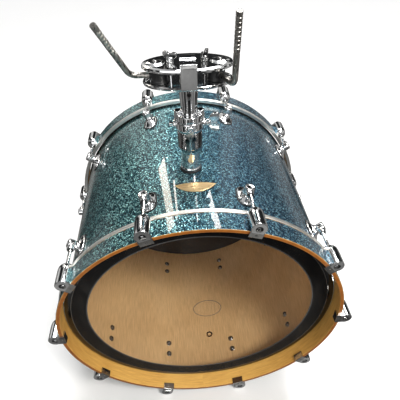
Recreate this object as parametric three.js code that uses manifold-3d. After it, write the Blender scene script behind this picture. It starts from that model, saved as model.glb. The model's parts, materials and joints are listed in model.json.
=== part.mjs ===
// Bass drum, 22 inch across and 16 inch deep, with a double tom holder and folding spurs.
// Millimetres, +Z up, batter (playing) head towards -Y, resonant head towards +Y.
// The origin is the point on the floor straight under the middle of the drum.

import * as THREE from 'three';
import { mergeVertices } from 'three/addons/utils/BufferGeometryUtils.js';
import Module from 'manifold-3d';

const wasm = await Module();
wasm.setup();

// ---------------------------------------------------------------- driving dimensions

const INCH = 25.4;
const GAP = 0.4; // free space between neighbouring solids
const SIDES = 40; // flats round the drum, so that each tuning station sits on one flat
const STATIONS = 10; // tuning stations on each side
const STATION_STEP = 360 / STATIONS;
const FIRST_STATION = STATION_STEP / 2;

const SHELL_R = 11 * INCH;
const SHELL_WALL = 7;
const SHELL_END = 8 * INCH; // bearing edge, from the middle of the drum
const EDGE_R = SHELL_R - 3; // crest of the bearing edge
const EDGE_DROP = 3;

const FILM = 0.8;
const COLLAR_T = 1.2;
const HEAD_Y = SHELL_END + GAP + FILM; // outer face of the film
const COLLAR_R = SHELL_R + 2;
const COLLAR_END = SHELL_END - 11;
const DAMPER_INNER_R = 235;
const DAMPER_OUTER_R = 269;
const DAMPER_T = 1;
const PATCH_R = 29;
const PATCH_X = 12.5;
const PATCH_Z = 20;
const PATCH_T = 0.6;

const RIM_INNER_R = SHELL_R + 5;
const RIM_OUTER_R = SHELL_R + 13;
const RIM_Y = SHELL_END - 13.2; // inner face of the flesh hoop
const RIM_WIDTH = 8;

const HOOP_INNER_R = SHELL_R + 3.6;
const HOOP_OUTER_R = HOOP_INNER_R + 8;
const HOOP_Y = RIM_Y + RIM_WIDTH + GAP;
const HOOP_FACE = HOOP_Y + 39.6;

const ROD_AXIS_R = 299; // tension rods, from the drum's axis
const ROD_R = 3;
const ROD_BORE_R = 3.6;
const ROD_END = 134;
const ROD_SEAT = HOOP_FACE - 2;
const ROD_FLANGE_R = 4.8;
const ROD_FLANGE = 2.2;
const KEY_SQUARE = 5.6;
const KEY_SUNK = 0.5; // how far the key square stops short of the claw's face

const CLAW_HALF = 14; // half width of the claw, and radius of its round back
const CLAW_BACK = RIM_Y + 4;
const CLAW_PLATE = 3.4;
const CLAW_FACE = HOOP_FACE + GAP + CLAW_PLATE;
const CLAW_SEAT_R = HOOP_OUTER_R;
const CLAW_RECESS_R = 5.6;
const HOOK_HALF = 12.5;
const HOOK_INNER_R = HOOP_INNER_R - 3.4;
const HOOK_OUTER_R = HOOP_INNER_R - 1;
const HOOK_REACH = 15;

const LUG_Y = 137.8; // middle of the lug's foot
const LUG_HALF_X = 15;
const LUG_HALF_Y = 25;
const LUG_FOOT_TOP = SHELL_R + 5;
const LUG_BALL_R = 9.5;
const LUG_BALL_Y = 142.5;
const LUG_NOSE_END = 158;
const LUG_ROOT = 3; // how deep the lug sinks into the shell
const LUG_NECK_INSET = 2;

const VENT_ANGLE = 174;
const VENT_Y = -99.5;
const VENT_HOLE_R = 5;
const VENT_BORE_R = 3;
const VENT_FLANGE_R = 8;
const VENT_FLANGE = 1.3;
const BADGE_HALF = 38;
const BADGE_BACK = -106;
const BADGE_FRONT = -133;
const BADGE_LIFT = 0.6;
const BADGE_T = 1;
const BADGE_BOW = 0.6; // how far out the bowed front edge keeps its depth
const BADGE_MARGIN = 5;
const STAMP_DEPTH = 60;

// The drum rests on four claws, two on each side, at the stations nearest to the floor.
const LOWEST_STATION = THREE.MathUtils.degToRad(FIRST_STATION);
const AXIS_HEIGHT = ROD_AXIS_R * Math.cos(LOWEST_STATION) + CLAW_HALF;

// Tom holder: heights are measured from the top of the shell.
const MOUNT_X = -5;
const MOUNT_Y = -59;
const MOUNT_HOLE_LOW = -20;
const MOUNT_HOLE_HIGH = 9;
const POST_R = 14.5;
const POST_WALL = 3;
const POST_BOTTOM = -60;
const POST_TOP = 171.6;
const POST_FLARE_R = 17;
const TUBE_R = 17.5;
const TUBE_TOP = 40;
const CUP_R = 22.5;
const CUP_BOTTOM = 53;
const CUP_TOP = 88;
const LIP_R = 24.5;
const LIP_RISE = 3;
const GASKET_BOTTOM = 0.6;
const GASKET_MARGIN = 2;
const POST_CLEARANCE = 1.5;
const RECEIVER_BOTTOM = 4.4;
const RECEIVER_TOP = 106;
const BOLT_Z = 97;
const BOLT_R = 3;
const BOLT_HOLE_R = 3.6;
const BOLT_FROM = 17;
const BOLT_COLLAR_FROM = 29.6;
const BOLT_COLLAR_TO = 35;
const BOLT_COLLAR_R = 5.5;
const BOLT_WING_LENGTH = 21;
const BOLT_WING_SPAN = 38;
const WING_T = 4;
const WING_ROOT_HALF = 4;
const WING_OVERLAP = 2;
const SIDE_BOSS_R = 7;
const SIDE_BOSS_FROM = 18;
const SIDE_BOSS_TO = 29;
const FRONT_BOSS_R = 5;
const FRONT_BOSS_FROM = -20;
const FRONT_BOSS_TO = -27;
const KEY_SCREW_R = 2.1;
const KEY_SCREW_HOLE_R = 2.6;
const KEY_SCREW_FROM = -16;
const KEY_SCREW_TO = -27;
const KEY_COLLAR_R = 3.6;
const KEY_COLLAR_FROM = -25.2;
const KEY_COLLAR_TO = -28;
const KEY_HEAD_END = -36;
const LOCK_TOP = 118;
const LOCK_EAR_TOP = 124;
const LOCK_EAR_X = 20;
const LOCK_EAR_R = 6.5;
const LOCK_EAR_Y = -1;
const LOCK_INSET = 1.5;
const POST_FLARE_DROP = 5;

const PLATE_HALF_X = 73;
const PLATE_HALF_Y = 36;
const PLATE_T = 3.6;
const PLATE_LIP = 3.4;
const PLATE_EDGE_INSET = 0.05; // as a share of the plate's half width
const PLATE_EDGE_DROP = 0.5;
const BLOCK_HALF_Y = 28;
const LOWER_PLATE_Z = 172;
const UPPER_PLATE_Z = 207;
const GAP_BOTTOM = LOWER_PLATE_Z + PLATE_T + GAP;
const GAP_TOP = UPPER_PLATE_Z - PLATE_T - GAP;
const SADDLE_HALF = 13;
const SADDLE_TOP = 217;
const SADDLE_BACK = 12;
const SADDLE_SLOT = { margin: 4, front: -20, back: -6, depth: 3 };
const APRON_T = 3;
const APRON_RISE = 3; // the apron's lower edge, above the lower plate

const CLAMP_X = 46;
const CLAMP_R = 15;
const ARM_R = 4.75;
const ARM_BORE_R = 5.2;
const ARM_Z = 187.5;
const ARM_INSERT = 10; // how far the arm starts behind the middle of its clamp
const ARM_BEND = 14;
const LEFT_ELBOW = [-92, 0, 187.5];
const LEFT_TIP = [-126, -56, 284];
const RIGHT_ELBOW = [68, -51, 187.5];
const RIGHT_TIP = [65, -81, 302];
const CLAMP_BOLT_X = 27;
const CLAMP_BOLT_R = 2.6;
const CLAMP_BOLT_HOLE_R = 3.1;
const CLAMP_BOLT_FROM = -38;
const CLAMP_BOLT_COLLAR = 9;
const CLAMP_BOLT_WING_LENGTH = 11;
const CLAMP_BOLT_WING_SPAN = 24;

// Spurs: the pivot stands off the shell low on each side, towards the resonant head.
const SPUR_ANGLE = 114;
const SPUR_Y = 110;
const SPUR_PIVOT_R = 303;
const SPUR_OPEN = new THREE.Vector3(0.42, 0.45, -0.79).normalize(); // leg direction when open
const SPUR_BOSS_R = 15;
const SPUR_HUB_T = 18;
const SPUR_LEG_R = 8;
const SPUR_LEG_END = 150;
const SPUR_ROD_R = 5.4;
const SPUR_ROD_START = 70;
const SPUR_ROD_END = 212;
const SPUR_FOOT_R = 11;
const SPUR_FOOT_START = 205;
const SPUR_FOOT_END = 235;
const SPUR_FOOT_NOSE = 4;
const SPUR_BOSS_DEPTH = 17;
const SPUR_BOLT_DEPTH = 12;
const SPUR_BOLT_FROM = -10;
const SPUR_BOLT_COLLAR = 6;
const SPUR_WING_LENGTH = 10;
const SPUR_WING_SPAN = 32;
const SPUR_PAD = { halfX: 20, halfY: 30, from: 0.2, to: 2.2 };
const SPUR_PLATE = { halfX: 18, halfY: 28, from: 2.6, to: 9 };
const SPUR_CORE = { halfX: 8.5, halfY: 14, from: 4, to: 15, shift: 5.5 };
const SPUR_UNDER = { half: 60, depth: 40 };
const SOCKET_END_GAP = 4;

const PASS = 2; // how far a cutting tool runs past the body it cuts
const BORE_SIDES = 6;
const SMALL_SIDES = 8;
const BOSS_SIDES = 10;
const ROUND_SIDES = 16;
const PLATE_SIDES = 24;
const PATCH_SIDES = 36;

// ---------------------------------------------------------------- materials

function finish(color, roughness, metalness) {
  return new THREE.MeshStandardMaterial({ color, roughness, metalness });
}

const SPARKLE = finish(0x2f7286, 0.25, 0.3);
const CHROME = finish(0xd8dade, 0.12, 1);
const FLESH_HOOP = finish(0xc9cac6, 0.3, 1);
const CLEAR_FILM = finish(0xd9c7a4, 0.25, 0);
const TINTED_FILM = finish(0x35312b, 0.4, 0);
const BLACK_FILM = finish(0x101010, 0.5, 0);
const RUBBER = finish(0x161616, 0.85, 0);
const NYLON = finish(0x242424, 0.55, 0);
const GOLD = finish(0xb98f4a, 0.35, 0.9);

// ---------------------------------------------------------------- solids

function positionsOnly(geometry) {
  const copy = geometry.clone();
  copy.deleteAttribute('normal');
  copy.deleteAttribute('uv');
  return mergeVertices(copy, 1e-4);
}

function signedVolume(vertices, triangles) {
  const [a, b, c] = [new THREE.Vector3(), new THREE.Vector3(), new THREE.Vector3()];
  let total = 0;
  for (let i = 0; i < triangles.length; i += 3) {
    a.fromArray(vertices, triangles[i] * 3);
    b.fromArray(vertices, triangles[i + 1] * 3);
    c.fromArray(vertices, triangles[i + 2] * 3);
    total += a.dot(b.cross(c)) / 6;
  }
  return total;
}

// A closed three.js geometry as a manifold solid, without empty triangles and facing out.
function toSolid(geometry) {
  const merged = positionsOnly(geometry);
  const vertProperties = Float32Array.from(merged.attributes.position.array);
  const kept = [];
  const index = merged.index.array;
  for (let i = 0; i < index.length; i += 3) {
    const [a, b, c] = [index[i], index[i + 1], index[i + 2]];
    if (a !== b && b !== c && c !== a) kept.push(a, b, c);
  }
  if (signedVolume(vertProperties, kept) < 0) kept.reverse();
  const triVerts = Uint32Array.from(kept);
  return new wasm.Manifold(new wasm.Mesh({ numProp: 3, vertProperties, triVerts }));
}

function toGeometry(solid) {
  const { vertProperties, triVerts } = solid.getMesh();
  const geometry = new THREE.BufferGeometry();
  geometry.setAttribute('position', new THREE.BufferAttribute(vertProperties, 3));
  geometry.setIndex(new THREE.BufferAttribute(triVerts, 1));
  return geometry;
}

function join(...geometries) {
  return toGeometry(geometries.map(toSolid).reduce((sum, next) => sum.add(next)));
}

function cut(geometry, ...tools) {
  return toGeometry(tools.map(toSolid).reduce((rest, tool) => rest.subtract(tool), toSolid(geometry)));
}

function common(geometry, other) {
  return toGeometry(toSolid(geometry).intersect(toSolid(other)));
}

// A closed profile of [radius, height] pairs turned about the Y axis.
function turned(profile, sides) {
  const points = profile.map(([r, h]) => new THREE.Vector2(r, h));
  if (profile[0][0] > 0) points.push(points[0].clone());
  return new THREE.LatheGeometry(points, sides, Math.PI / sides);
}

// The same, about the Z axis.
function turnedUpright(profile, sides) {
  return turned(profile, sides).rotateX(Math.PI / 2);
}

function rod(radius, from, to, sides = 12) {
  const start = new THREE.Vector3(...from);
  const end = new THREE.Vector3(...to);
  const along = end.clone().sub(start);
  const geometry = new THREE.CylinderGeometry(radius, radius, along.length(), sides);
  const turn = new THREE.Quaternion().setFromUnitVectors(new THREE.Vector3(0, 1, 0), along.normalize());
  geometry.applyQuaternion(turn);
  const middle = start.add(end).multiplyScalar(0.5);
  return geometry.translate(middle.x, middle.y, middle.z);
}

function box([x0, x1], [y0, y1], [z0, z1]) {
  const geometry = new THREE.BoxGeometry(x1 - x0, y1 - y0, z1 - z0);
  return geometry.translate((x0 + x1) / 2, (y0 + y1) / 2, (z0 + z1) / 2);
}

// A shape drawn in X and Z, stretched along Y from one end to the other.
function stretchedAlongY(shape, yFrom, yTo, curveSegments = 5) {
  const geometry = new THREE.ExtrudeGeometry(shape, {
    depth: yTo - yFrom,
    bevelEnabled: false,
    curveSegments,
  });
  return geometry.rotateX(Math.PI / 2).translate(0, yTo, 0);
}

function part(name, geometry, material) {
  const mesh = new THREE.Mesh(toGeometry(toSolid(geometry)), material);
  mesh.name = name;
  return mesh;
}

function copyOf(name, geometry, material) {
  const mesh = new THREE.Mesh(geometry, material);
  mesh.name = name;
  return mesh;
}

const twoDigits = (number) => String(number).padStart(2, '0');
const stationAngle = (i) => THREE.MathUtils.degToRad(FIRST_STATION + i * STATION_STEP);

// ---------------------------------------------------------------- shell and lugs

// One lug as seen from its station: X round the drum, Y towards its hoop, Z out of the shell.
function lug() {
  const footBottom = SHELL_R - LUG_ROOT;
  const foot = new THREE.CylinderGeometry(1, 1, LUG_FOOT_TOP - footBottom, 12);
  foot.rotateX(Math.PI / 2);
  foot.scale(LUG_HALF_X, LUG_HALF_Y, 1);
  foot.translate(0, LUG_Y, (LUG_FOOT_TOP + footBottom) / 2);
  const neckHeight = ROD_AXIS_R - LUG_FOOT_TOP + 1;
  const neckTopR = LUG_BALL_R - LUG_NECK_INSET;
  const neck = new THREE.CylinderGeometry(neckTopR, LUG_HALF_X - LUG_NECK_INSET, neckHeight, SMALL_SIDES);
  neck.rotateX(Math.PI / 2).translate(0, LUG_BALL_Y, ROD_AXIS_R - neckHeight / 2);
  const barrelStart = LUG_BALL_Y - LUG_BALL_R;
  const onRodAxis = (y) => [0, y, ROD_AXIS_R];
  const barrel = rod(LUG_BALL_R, onRodAxis(barrelStart), onRodAxis(LUG_NOSE_END), SMALL_SIDES);
  const bore = rod(ROD_BORE_R, onRodAxis(barrelStart - PASS), onRodAxis(LUG_NOSE_END + PASS), BORE_SIDES);
  return cut(join(foot, neck, barrel), bore);
}

function shellTube() {
  const outerEnd = SHELL_END - EDGE_DROP;
  const tube = turned([
    [SHELL_R, -outerEnd], [SHELL_R, outerEnd], [EDGE_R, SHELL_END], [SHELL_R - SHELL_WALL, outerEnd],
    [SHELL_R - SHELL_WALL, -outerEnd], [EDGE_R, -SHELL_END],
  ], SIDES);
  const hole = (radius, x, y, sides) => {
    const bottom = SHELL_R + MOUNT_HOLE_LOW;
    return rod(radius, [x, y, bottom], [x, y, SHELL_R + MOUNT_HOLE_HIGH], sides);
  };
  const postHole = hole(POST_R + POST_CLEARANCE, MOUNT_X, MOUNT_Y, ROUND_SIDES);
  const ventHole = hole(VENT_HOLE_R, 0, VENT_Y, 12);
  ventHole.rotateY(THREE.MathUtils.degToRad(VENT_ANGLE));
  return cut(tube, postHole, ventHole);
}

function shellWithLugs() {
  const lugs = [];
  for (const facing of [0, Math.PI]) {
    for (let i = 0; i < STATIONS; i += 1) {
      lugs.push(lug().rotateZ(facing).rotateY(stationAngle(i)));
    }
  }
  return join(shellTube(), ...lugs);
}

// A hollow grommet riveted through the shell wall.
function airVent() {
  const inside = (SHELL_R - SHELL_WALL) * Math.cos(Math.PI / SIDES) - GAP;
  const outside = SHELL_R + GAP;
  const tubeR = VENT_HOLE_R - GAP;
  const innerFace = inside - VENT_FLANGE;
  const outerFace = outside + VENT_FLANGE;
  const profile = [
    [VENT_BORE_R, innerFace], [VENT_FLANGE_R, innerFace], [VENT_FLANGE_R, inside], [tubeR, inside],
    [tubeR, outside], [VENT_FLANGE_R, outside], [VENT_FLANGE_R, outerFace], [VENT_BORE_R, outerFace],
  ];
  const vent = turnedUpright(profile, BOSS_SIDES).translate(0, VENT_Y, 0);
  return vent.rotateY(THREE.MathUtils.degToRad(VENT_ANGLE));
}

// A thin plate with a straight back edge and a bowed front edge, bent to the shell.
function badge() {
  const bow = BADGE_HALF * BADGE_BOW;
  const outline = new THREE.Shape();
  outline.moveTo(-BADGE_HALF, BADGE_BACK);
  outline.quadraticCurveTo(-bow, BADGE_FRONT, 0, BADGE_FRONT);
  outline.quadraticCurveTo(bow, BADGE_FRONT, BADGE_HALF, BADGE_BACK);
  outline.lineTo(-BADGE_HALF, BADGE_BACK);
  const stamp = new THREE.ExtrudeGeometry(outline, {
    depth: STAMP_DEPTH,
    bevelEnabled: false,
    curveSegments: SMALL_SIDES,
  });
  stamp.translate(0, 0, SHELL_R - STAMP_DEPTH / 2);
  const inner = SHELL_R + BADGE_LIFT;
  const outer = inner + BADGE_T;
  const front = BADGE_FRONT - BADGE_MARGIN;
  const back = BADGE_BACK + BADGE_MARGIN;
  const skin = turned([[inner, front], [outer, front], [outer, back], [inner, back]], SIDES);
  return common(skin, stamp);
}

// ---------------------------------------------------------------- hoops, heads and claws

// One claw at its station: a round-backed casting over the hoop, with a hook round its face.
function claw() {
  const back = new THREE.Shape();
  back.moveTo(CLAW_HALF, CLAW_SEAT_R);
  back.lineTo(CLAW_HALF, ROD_AXIS_R);
  back.absarc(0, ROD_AXIS_R, CLAW_HALF, 0, Math.PI, false);
  back.lineTo(-CLAW_HALF, CLAW_SEAT_R);
  const face = new THREE.Shape();
  face.moveTo(HOOK_HALF, HOOK_INNER_R);
  face.lineTo(CLAW_HALF, CLAW_SEAT_R);
  face.lineTo(CLAW_HALF, ROD_AXIS_R);
  face.absarc(0, ROD_AXIS_R, CLAW_HALF, 0, Math.PI, false);
  face.lineTo(-CLAW_HALF, CLAW_SEAT_R);
  face.lineTo(-HOOK_HALF, HOOK_INNER_R);
  const plateBack = CLAW_FACE - CLAW_PLATE;
  const body = join(
    stretchedAlongY(back, CLAW_BACK, plateBack + 1),
    stretchedAlongY(face, plateBack, CLAW_FACE),
    box([-HOOK_HALF, HOOK_HALF], [CLAW_FACE - HOOK_REACH, CLAW_FACE], [HOOK_INNER_R, HOOK_OUTER_R]),
  );
  return cut(
    body,
    rod(ROD_BORE_R, [0, CLAW_BACK - PASS, ROD_AXIS_R], [0, CLAW_FACE + PASS, ROD_AXIS_R], BORE_SIDES),
    rod(CLAW_RECESS_R, [0, ROD_SEAT, ROD_AXIS_R], [0, CLAW_FACE + PASS, ROD_AXIS_R], SMALL_SIDES),
  );
}

function rimWithClaws() {
  const rim = turned([
    [RIM_INNER_R, RIM_Y], [RIM_OUTER_R, RIM_Y], [RIM_OUTER_R, RIM_Y + RIM_WIDTH],
    [RIM_INNER_R, RIM_Y + RIM_WIDTH],
  ], SIDES);
  const claws = [];
  for (let i = 0; i < STATIONS; i += 1) claws.push(claw().rotateY(stationAngle(i)));
  return join(rim, ...claws);
}

function woodHoop() {
  return turned([
    [HOOP_INNER_R, HOOP_Y], [HOOP_OUTER_R, HOOP_Y], [HOOP_OUTER_R, HOOP_FACE], [HOOP_INNER_R, HOOP_FACE],
  ], SIDES);
}

// The film lies over the bearing edge, and its collar turns down beside the shell.
function head() {
  const innerFace = HEAD_Y - FILM;
  const collarInner = COLLAR_R - COLLAR_T;
  return turned([
    [0, innerFace], [collarInner, innerFace], [collarInner, COLLAR_END], [COLLAR_R, COLLAR_END],
    [COLLAR_R, HEAD_Y], [0, HEAD_Y],
  ], SIDES);
}

function tensionRod() {
  const onRodAxis = (y) => [0, y, ROD_AXIS_R];
  const stem = rod(ROD_R, onRodAxis(ROD_END), onRodAxis(ROD_SEAT + 1), SMALL_SIDES);
  const flangeStart = ROD_SEAT + GAP;
  const flangeEnd = flangeStart + ROD_FLANGE;
  const flange = rod(ROD_FLANGE_R, onRodAxis(flangeStart), onRodAxis(flangeEnd), SMALL_SIDES);
  const half = KEY_SQUARE / 2;
  const keySpan = [flangeEnd - 1, CLAW_FACE - KEY_SUNK];
  const key = box([-half, half], keySpan, [ROD_AXIS_R - half, ROD_AXIS_R + half]);
  return join(stem, flange, key);
}

// Everything on one side of the drum, drawn with its hoop towards +Y.
function tensionedSide(side, film) {
  const group = new THREE.Group();
  group.add(part(`${side}_hoop`, woodHoop(), SPARKLE));
  group.add(part(`${side}_rim_with_claws`, rimWithClaws(), FLESH_HOOP));
  group.add(part(`${side}_head`, head(), film));
  const rodGeometry = tensionRod();
  for (let i = 0; i < STATIONS; i += 1) {
    const stem = copyOf(`${side}_tension_rod_${twoDigits(i + 1)}`, rodGeometry, CHROME);
    stem.rotation.y = stationAngle(i);
    group.add(stem);
  }
  return group;
}

function dampingRing() {
  const outer = -(HEAD_Y - FILM - GAP);
  const inner = outer + DAMPER_T;
  return turned([
    [DAMPER_INNER_R, outer], [DAMPER_OUTER_R, outer], [DAMPER_OUTER_R, inner], [DAMPER_INNER_R, inner],
  ], SIDES);
}

function beaterPatch() {
  const seat = -HEAD_Y - GAP;
  return rod(PATCH_R, [PATCH_X, seat, PATCH_Z], [PATCH_X, seat - PATCH_T, PATCH_Z], PATCH_SIDES);
}

// ---------------------------------------------------------------- tom holder

function mountGasket() {
  const inner = POST_R + POST_CLEARANCE;
  const outer = TUBE_R + GASKET_MARGIN;
  const top = RECEIVER_BOTTOM - GAP;
  return turnedUpright([
    [inner, GASKET_BOTTOM], [outer, GASKET_BOTTOM], [outer, top], [inner, top],
  ], ROUND_SIDES);
}

function receiver() {
  const boreR = POST_R + GAP;
  const tube = turnedUpright([
    [boreR, RECEIVER_BOTTOM], [TUBE_R, RECEIVER_BOTTOM], [TUBE_R, TUBE_TOP], [CUP_R, CUP_BOTTOM],
    [CUP_R, CUP_TOP], [LIP_R, CUP_TOP + LIP_RISE], [LIP_R, RECEIVER_TOP], [boreR, RECEIVER_TOP],
  ], ROUND_SIDES);
  const across = (radius, from, to, sides) => rod(radius, [from, 0, BOLT_Z], [to, 0, BOLT_Z], sides);
  const sideBoss = across(SIDE_BOSS_R, SIDE_BOSS_FROM, SIDE_BOSS_TO, BOSS_SIDES);
  const frontBoss = rod(FRONT_BOSS_R, [0, FRONT_BOSS_FROM, BOLT_Z], [0, FRONT_BOSS_TO, BOLT_Z], BOSS_SIDES);
  const boltHole = across(BOLT_HOLE_R, TUBE_R - 5, SIDE_BOSS_TO + PASS, 12);
  const keyHole = across(KEY_SCREW_HOLE_R, -TUBE_R + 5, -LIP_R - PASS, 12);
  const bore = rod(boreR, [0, 0, CUP_TOP - LIP_RISE], [0, 0, RECEIVER_TOP + PASS], ROUND_SIDES);
  return cut(join(tube, sideBoss, frontBoss), boltHole, keyHole, bore);
}

// Two rounded wings in the XZ plane of a bolt that points along +X.
function wings(start, length, span) {
  const rise = start + length * 0.3;
  const shoulder = start + length * 0.8;
  const bulge = start + length * 1.2;
  const half = span / 2;
  const waist = span * 0.35;
  const outline = new THREE.Shape();
  outline.moveTo(start, -WING_ROOT_HALF);
  outline.quadraticCurveTo(rise, -half, shoulder, -half);
  outline.quadraticCurveTo(bulge, -waist, shoulder, -WING_ROOT_HALF);
  outline.lineTo(shoulder, WING_ROOT_HALF);
  outline.quadraticCurveTo(bulge, waist, shoulder, half);
  outline.quadraticCurveTo(rise, half, start, WING_ROOT_HALF);
  return stretchedAlongY(outline, -WING_T / 2, WING_T / 2, 3);
}

function wingBolt(shaftR, shaftFrom, collarFrom, collarTo, wingLength, span) {
  return join(
    rod(shaftR, [shaftFrom, 0, 0], [collarTo, 0, 0]),
    rod(BOLT_COLLAR_R, [collarFrom, 0, 0], [collarTo, 0, 0]),
    wings(collarTo - WING_OVERLAP, wingLength, span),
  );
}

function keyScrew() {
  const half = KEY_SQUARE / 2;
  return join(
    rod(KEY_SCREW_R, [KEY_SCREW_FROM, 0, BOLT_Z], [KEY_SCREW_TO, 0, BOLT_Z]),
    rod(KEY_COLLAR_R, [KEY_COLLAR_FROM, 0, BOLT_Z], [KEY_COLLAR_TO, 0, BOLT_Z]),
    box([KEY_HEAD_END, KEY_SCREW_TO], [-half, half], [BOLT_Z - half, BOLT_Z + half]),
  );
}

function memoryLock() {
  const bottom = RECEIVER_TOP + GAP;
  const ring = rod(LIP_R - LOCK_INSET, [0, 0, bottom], [0, 0, LOCK_TOP], ROUND_SIDES);
  const ears = [-1, 1].map((side) => {
    const x = side * LOCK_EAR_X;
    return rod(LOCK_EAR_R, [x, LOCK_EAR_Y, bottom], [x, LOCK_EAR_Y, LOCK_EAR_TOP], BOSS_SIDES);
  });
  const bore = rod(POST_R + GAP, [0, 0, bottom - PASS], [0, 0, LOCK_EAR_TOP + PASS], ROUND_SIDES);
  return cut(join(ring, ...ears), bore);
}

function holderPost() {
  const inner = POST_R - POST_WALL;
  return turnedUpright([
    [inner, POST_BOTTOM], [POST_R, POST_BOTTOM], [POST_R, LOCK_EAR_TOP + PASS],
    [POST_FLARE_R, POST_TOP - POST_FLARE_DROP], [POST_FLARE_R, POST_TOP], [inner, POST_TOP],
  ], ROUND_SIDES);
}

// An oval dish; up is +1 for the lower plate's raised lip and -1 for the upper plate's.
function plate(baseZ, up) {
  const floorR = 1 - 2 * PLATE_EDGE_INSET;
  const profile = [
    [0, 0], [floorR, 0], [1, PLATE_T - PLATE_EDGE_DROP], [1, PLATE_T + PLATE_LIP],
    [1 - PLATE_EDGE_INSET, PLATE_T + PLATE_LIP], [floorR, PLATE_T], [0, PLATE_T],
  ];
  const dish = turnedUpright(profile.map(([r, h]) => [r, h * up]), PLATE_SIDES);
  dish.scale(PLATE_HALF_X, PLATE_HALF_Y, 1).translate(0, 0, baseZ);
  const reach = PLATE_T + PLATE_LIP + PASS;
  const holes = [-1, 1].map((side) => {
    const x = side * CLAMP_BOLT_X;
    return rod(CLAMP_BOLT_HOLE_R, [x, 0, baseZ - reach], [x, 0, baseZ + reach]);
  });
  return cut(dish, ...holes);
}

function centreBlock() {
  return box([-SADDLE_HALF, SADDLE_HALF], [-BLOCK_HALF_Y, BLOCK_HALF_Y], [GAP_BOTTOM, GAP_TOP]);
}

// A bridge over the upper plate with an apron down in front of both plates.
function saddle() {
  const front = -PLATE_HALF_Y - GAP;
  const bottom = UPPER_PLATE_Z + GAP;
  const across = [-SADDLE_HALF, SADDLE_HALF];
  const bridge = box(across, [front - APRON_T, SADDLE_BACK], [bottom, SADDLE_TOP]);
  const slotHalf = SADDLE_HALF - SADDLE_SLOT.margin;
  const slotFloor = SADDLE_TOP - SADDLE_SLOT.depth;
  const slotSpan = [SADDLE_SLOT.front, SADDLE_SLOT.back];
  const slot = box([-slotHalf, slotHalf], slotSpan, [slotFloor, SADDLE_TOP + PASS]);
  const apron = box(across, [front - APRON_T, front], [LOWER_PLATE_Z + APRON_RISE, SADDLE_TOP]);
  return join(cut(bridge, slot), apron);
}

function armStart(side, elbow) {
  const clamp = new THREE.Vector3(side * CLAMP_X, 0, ARM_Z);
  const out = new THREE.Vector3(...elbow).sub(clamp).normalize();
  return { clamp, out };
}

function armClamp(side, elbow) {
  const { clamp, out } = armStart(side, elbow);
  const body = rod(CLAMP_R, [clamp.x, 0, GAP_BOTTOM], [clamp.x, 0, GAP_TOP], ROUND_SIDES);
  const from = clamp.clone().addScaledVector(out, -ARM_INSERT - 1);
  const to = clamp.clone().addScaledVector(out, CLAMP_R + PASS);
  return cut(body, rod(ARM_BORE_R, from.toArray(), to.toArray()));
}

// An L-shaped round bar: out of the clamp, round the elbow and up to the tip.
function arm(side, elbow, tip) {
  const { clamp, out } = armStart(side, elbow);
  const corner = new THREE.Vector3(...elbow);
  const top = new THREE.Vector3(...tip);
  const up = top.clone().sub(corner).normalize();
  const bendStart = corner.clone().addScaledVector(out, -ARM_BEND);
  const bendEnd = corner.clone().addScaledVector(up, ARM_BEND);
  const path = new THREE.CurvePath();
  path.add(new THREE.LineCurve3(clamp.clone().addScaledVector(out, -ARM_INSERT), bendStart));
  path.add(new THREE.QuadraticBezierCurve3(bendStart, corner, bendEnd));
  path.add(new THREE.LineCurve3(bendEnd, top));
  const section = new THREE.Shape().absarc(0, 0, ARM_R, 0, 2 * Math.PI, false);
  return new THREE.ExtrudeGeometry(section, { steps: 14, curveSegments: 4, extrudePath: path });
}

// A bolt down through both plates, with its wings above the upper one.
function clampBolt(x) {
  const bolt = wingBolt(
    CLAMP_BOLT_R, CLAMP_BOLT_FROM, GAP, CLAMP_BOLT_COLLAR, CLAMP_BOLT_WING_LENGTH, CLAMP_BOLT_WING_SPAN,
  );
  return bolt.rotateY(-Math.PI / 2).translate(x, 0, UPPER_PLATE_Z);
}

function tomHolder() {
  const group = new THREE.Group();
  group.add(part('mount_gasket', mountGasket(), RUBBER));
  group.add(part('mount_receiver', receiver(), CHROME));
  const boltShape = wingBolt(
    BOLT_R, BOLT_FROM, BOLT_COLLAR_FROM, BOLT_COLLAR_TO, BOLT_WING_LENGTH, BOLT_WING_SPAN,
  );
  const bolt = part('receiver_wing_bolt', boltShape, CHROME);
  bolt.position.z = BOLT_Z;
  group.add(bolt);
  group.add(part('receiver_key_screw', keyScrew(), CHROME));
  group.add(part('memory_lock', memoryLock(), CHROME));
  group.add(part('holder_post', holderPost(), CHROME));
  group.add(part('lower_plate', plate(LOWER_PLATE_Z, 1), CHROME));
  group.add(part('upper_plate', plate(UPPER_PLATE_Z, -1), CHROME));
  group.add(part('centre_block', centreBlock(), NYLON));
  group.add(part('top_saddle', saddle(), CHROME));
  group.add(part('left_arm_clamp', armClamp(-1, LEFT_ELBOW), NYLON));
  group.add(part('right_arm_clamp', armClamp(1, RIGHT_ELBOW), NYLON));
  group.add(part('left_tom_arm', arm(-1, LEFT_ELBOW, LEFT_TIP), CHROME));
  group.add(part('right_tom_arm', arm(1, RIGHT_ELBOW, RIGHT_TIP), CHROME));
  group.add(part('left_clamp_bolt', clampBolt(-CLAMP_BOLT_X), CHROME));
  group.add(part('right_clamp_bolt', clampBolt(CLAMP_BOLT_X), CHROME));
  group.position.set(MOUNT_X, MOUNT_Y, SHELL_R);
  return group;
}

// ---------------------------------------------------------------- spurs

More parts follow.
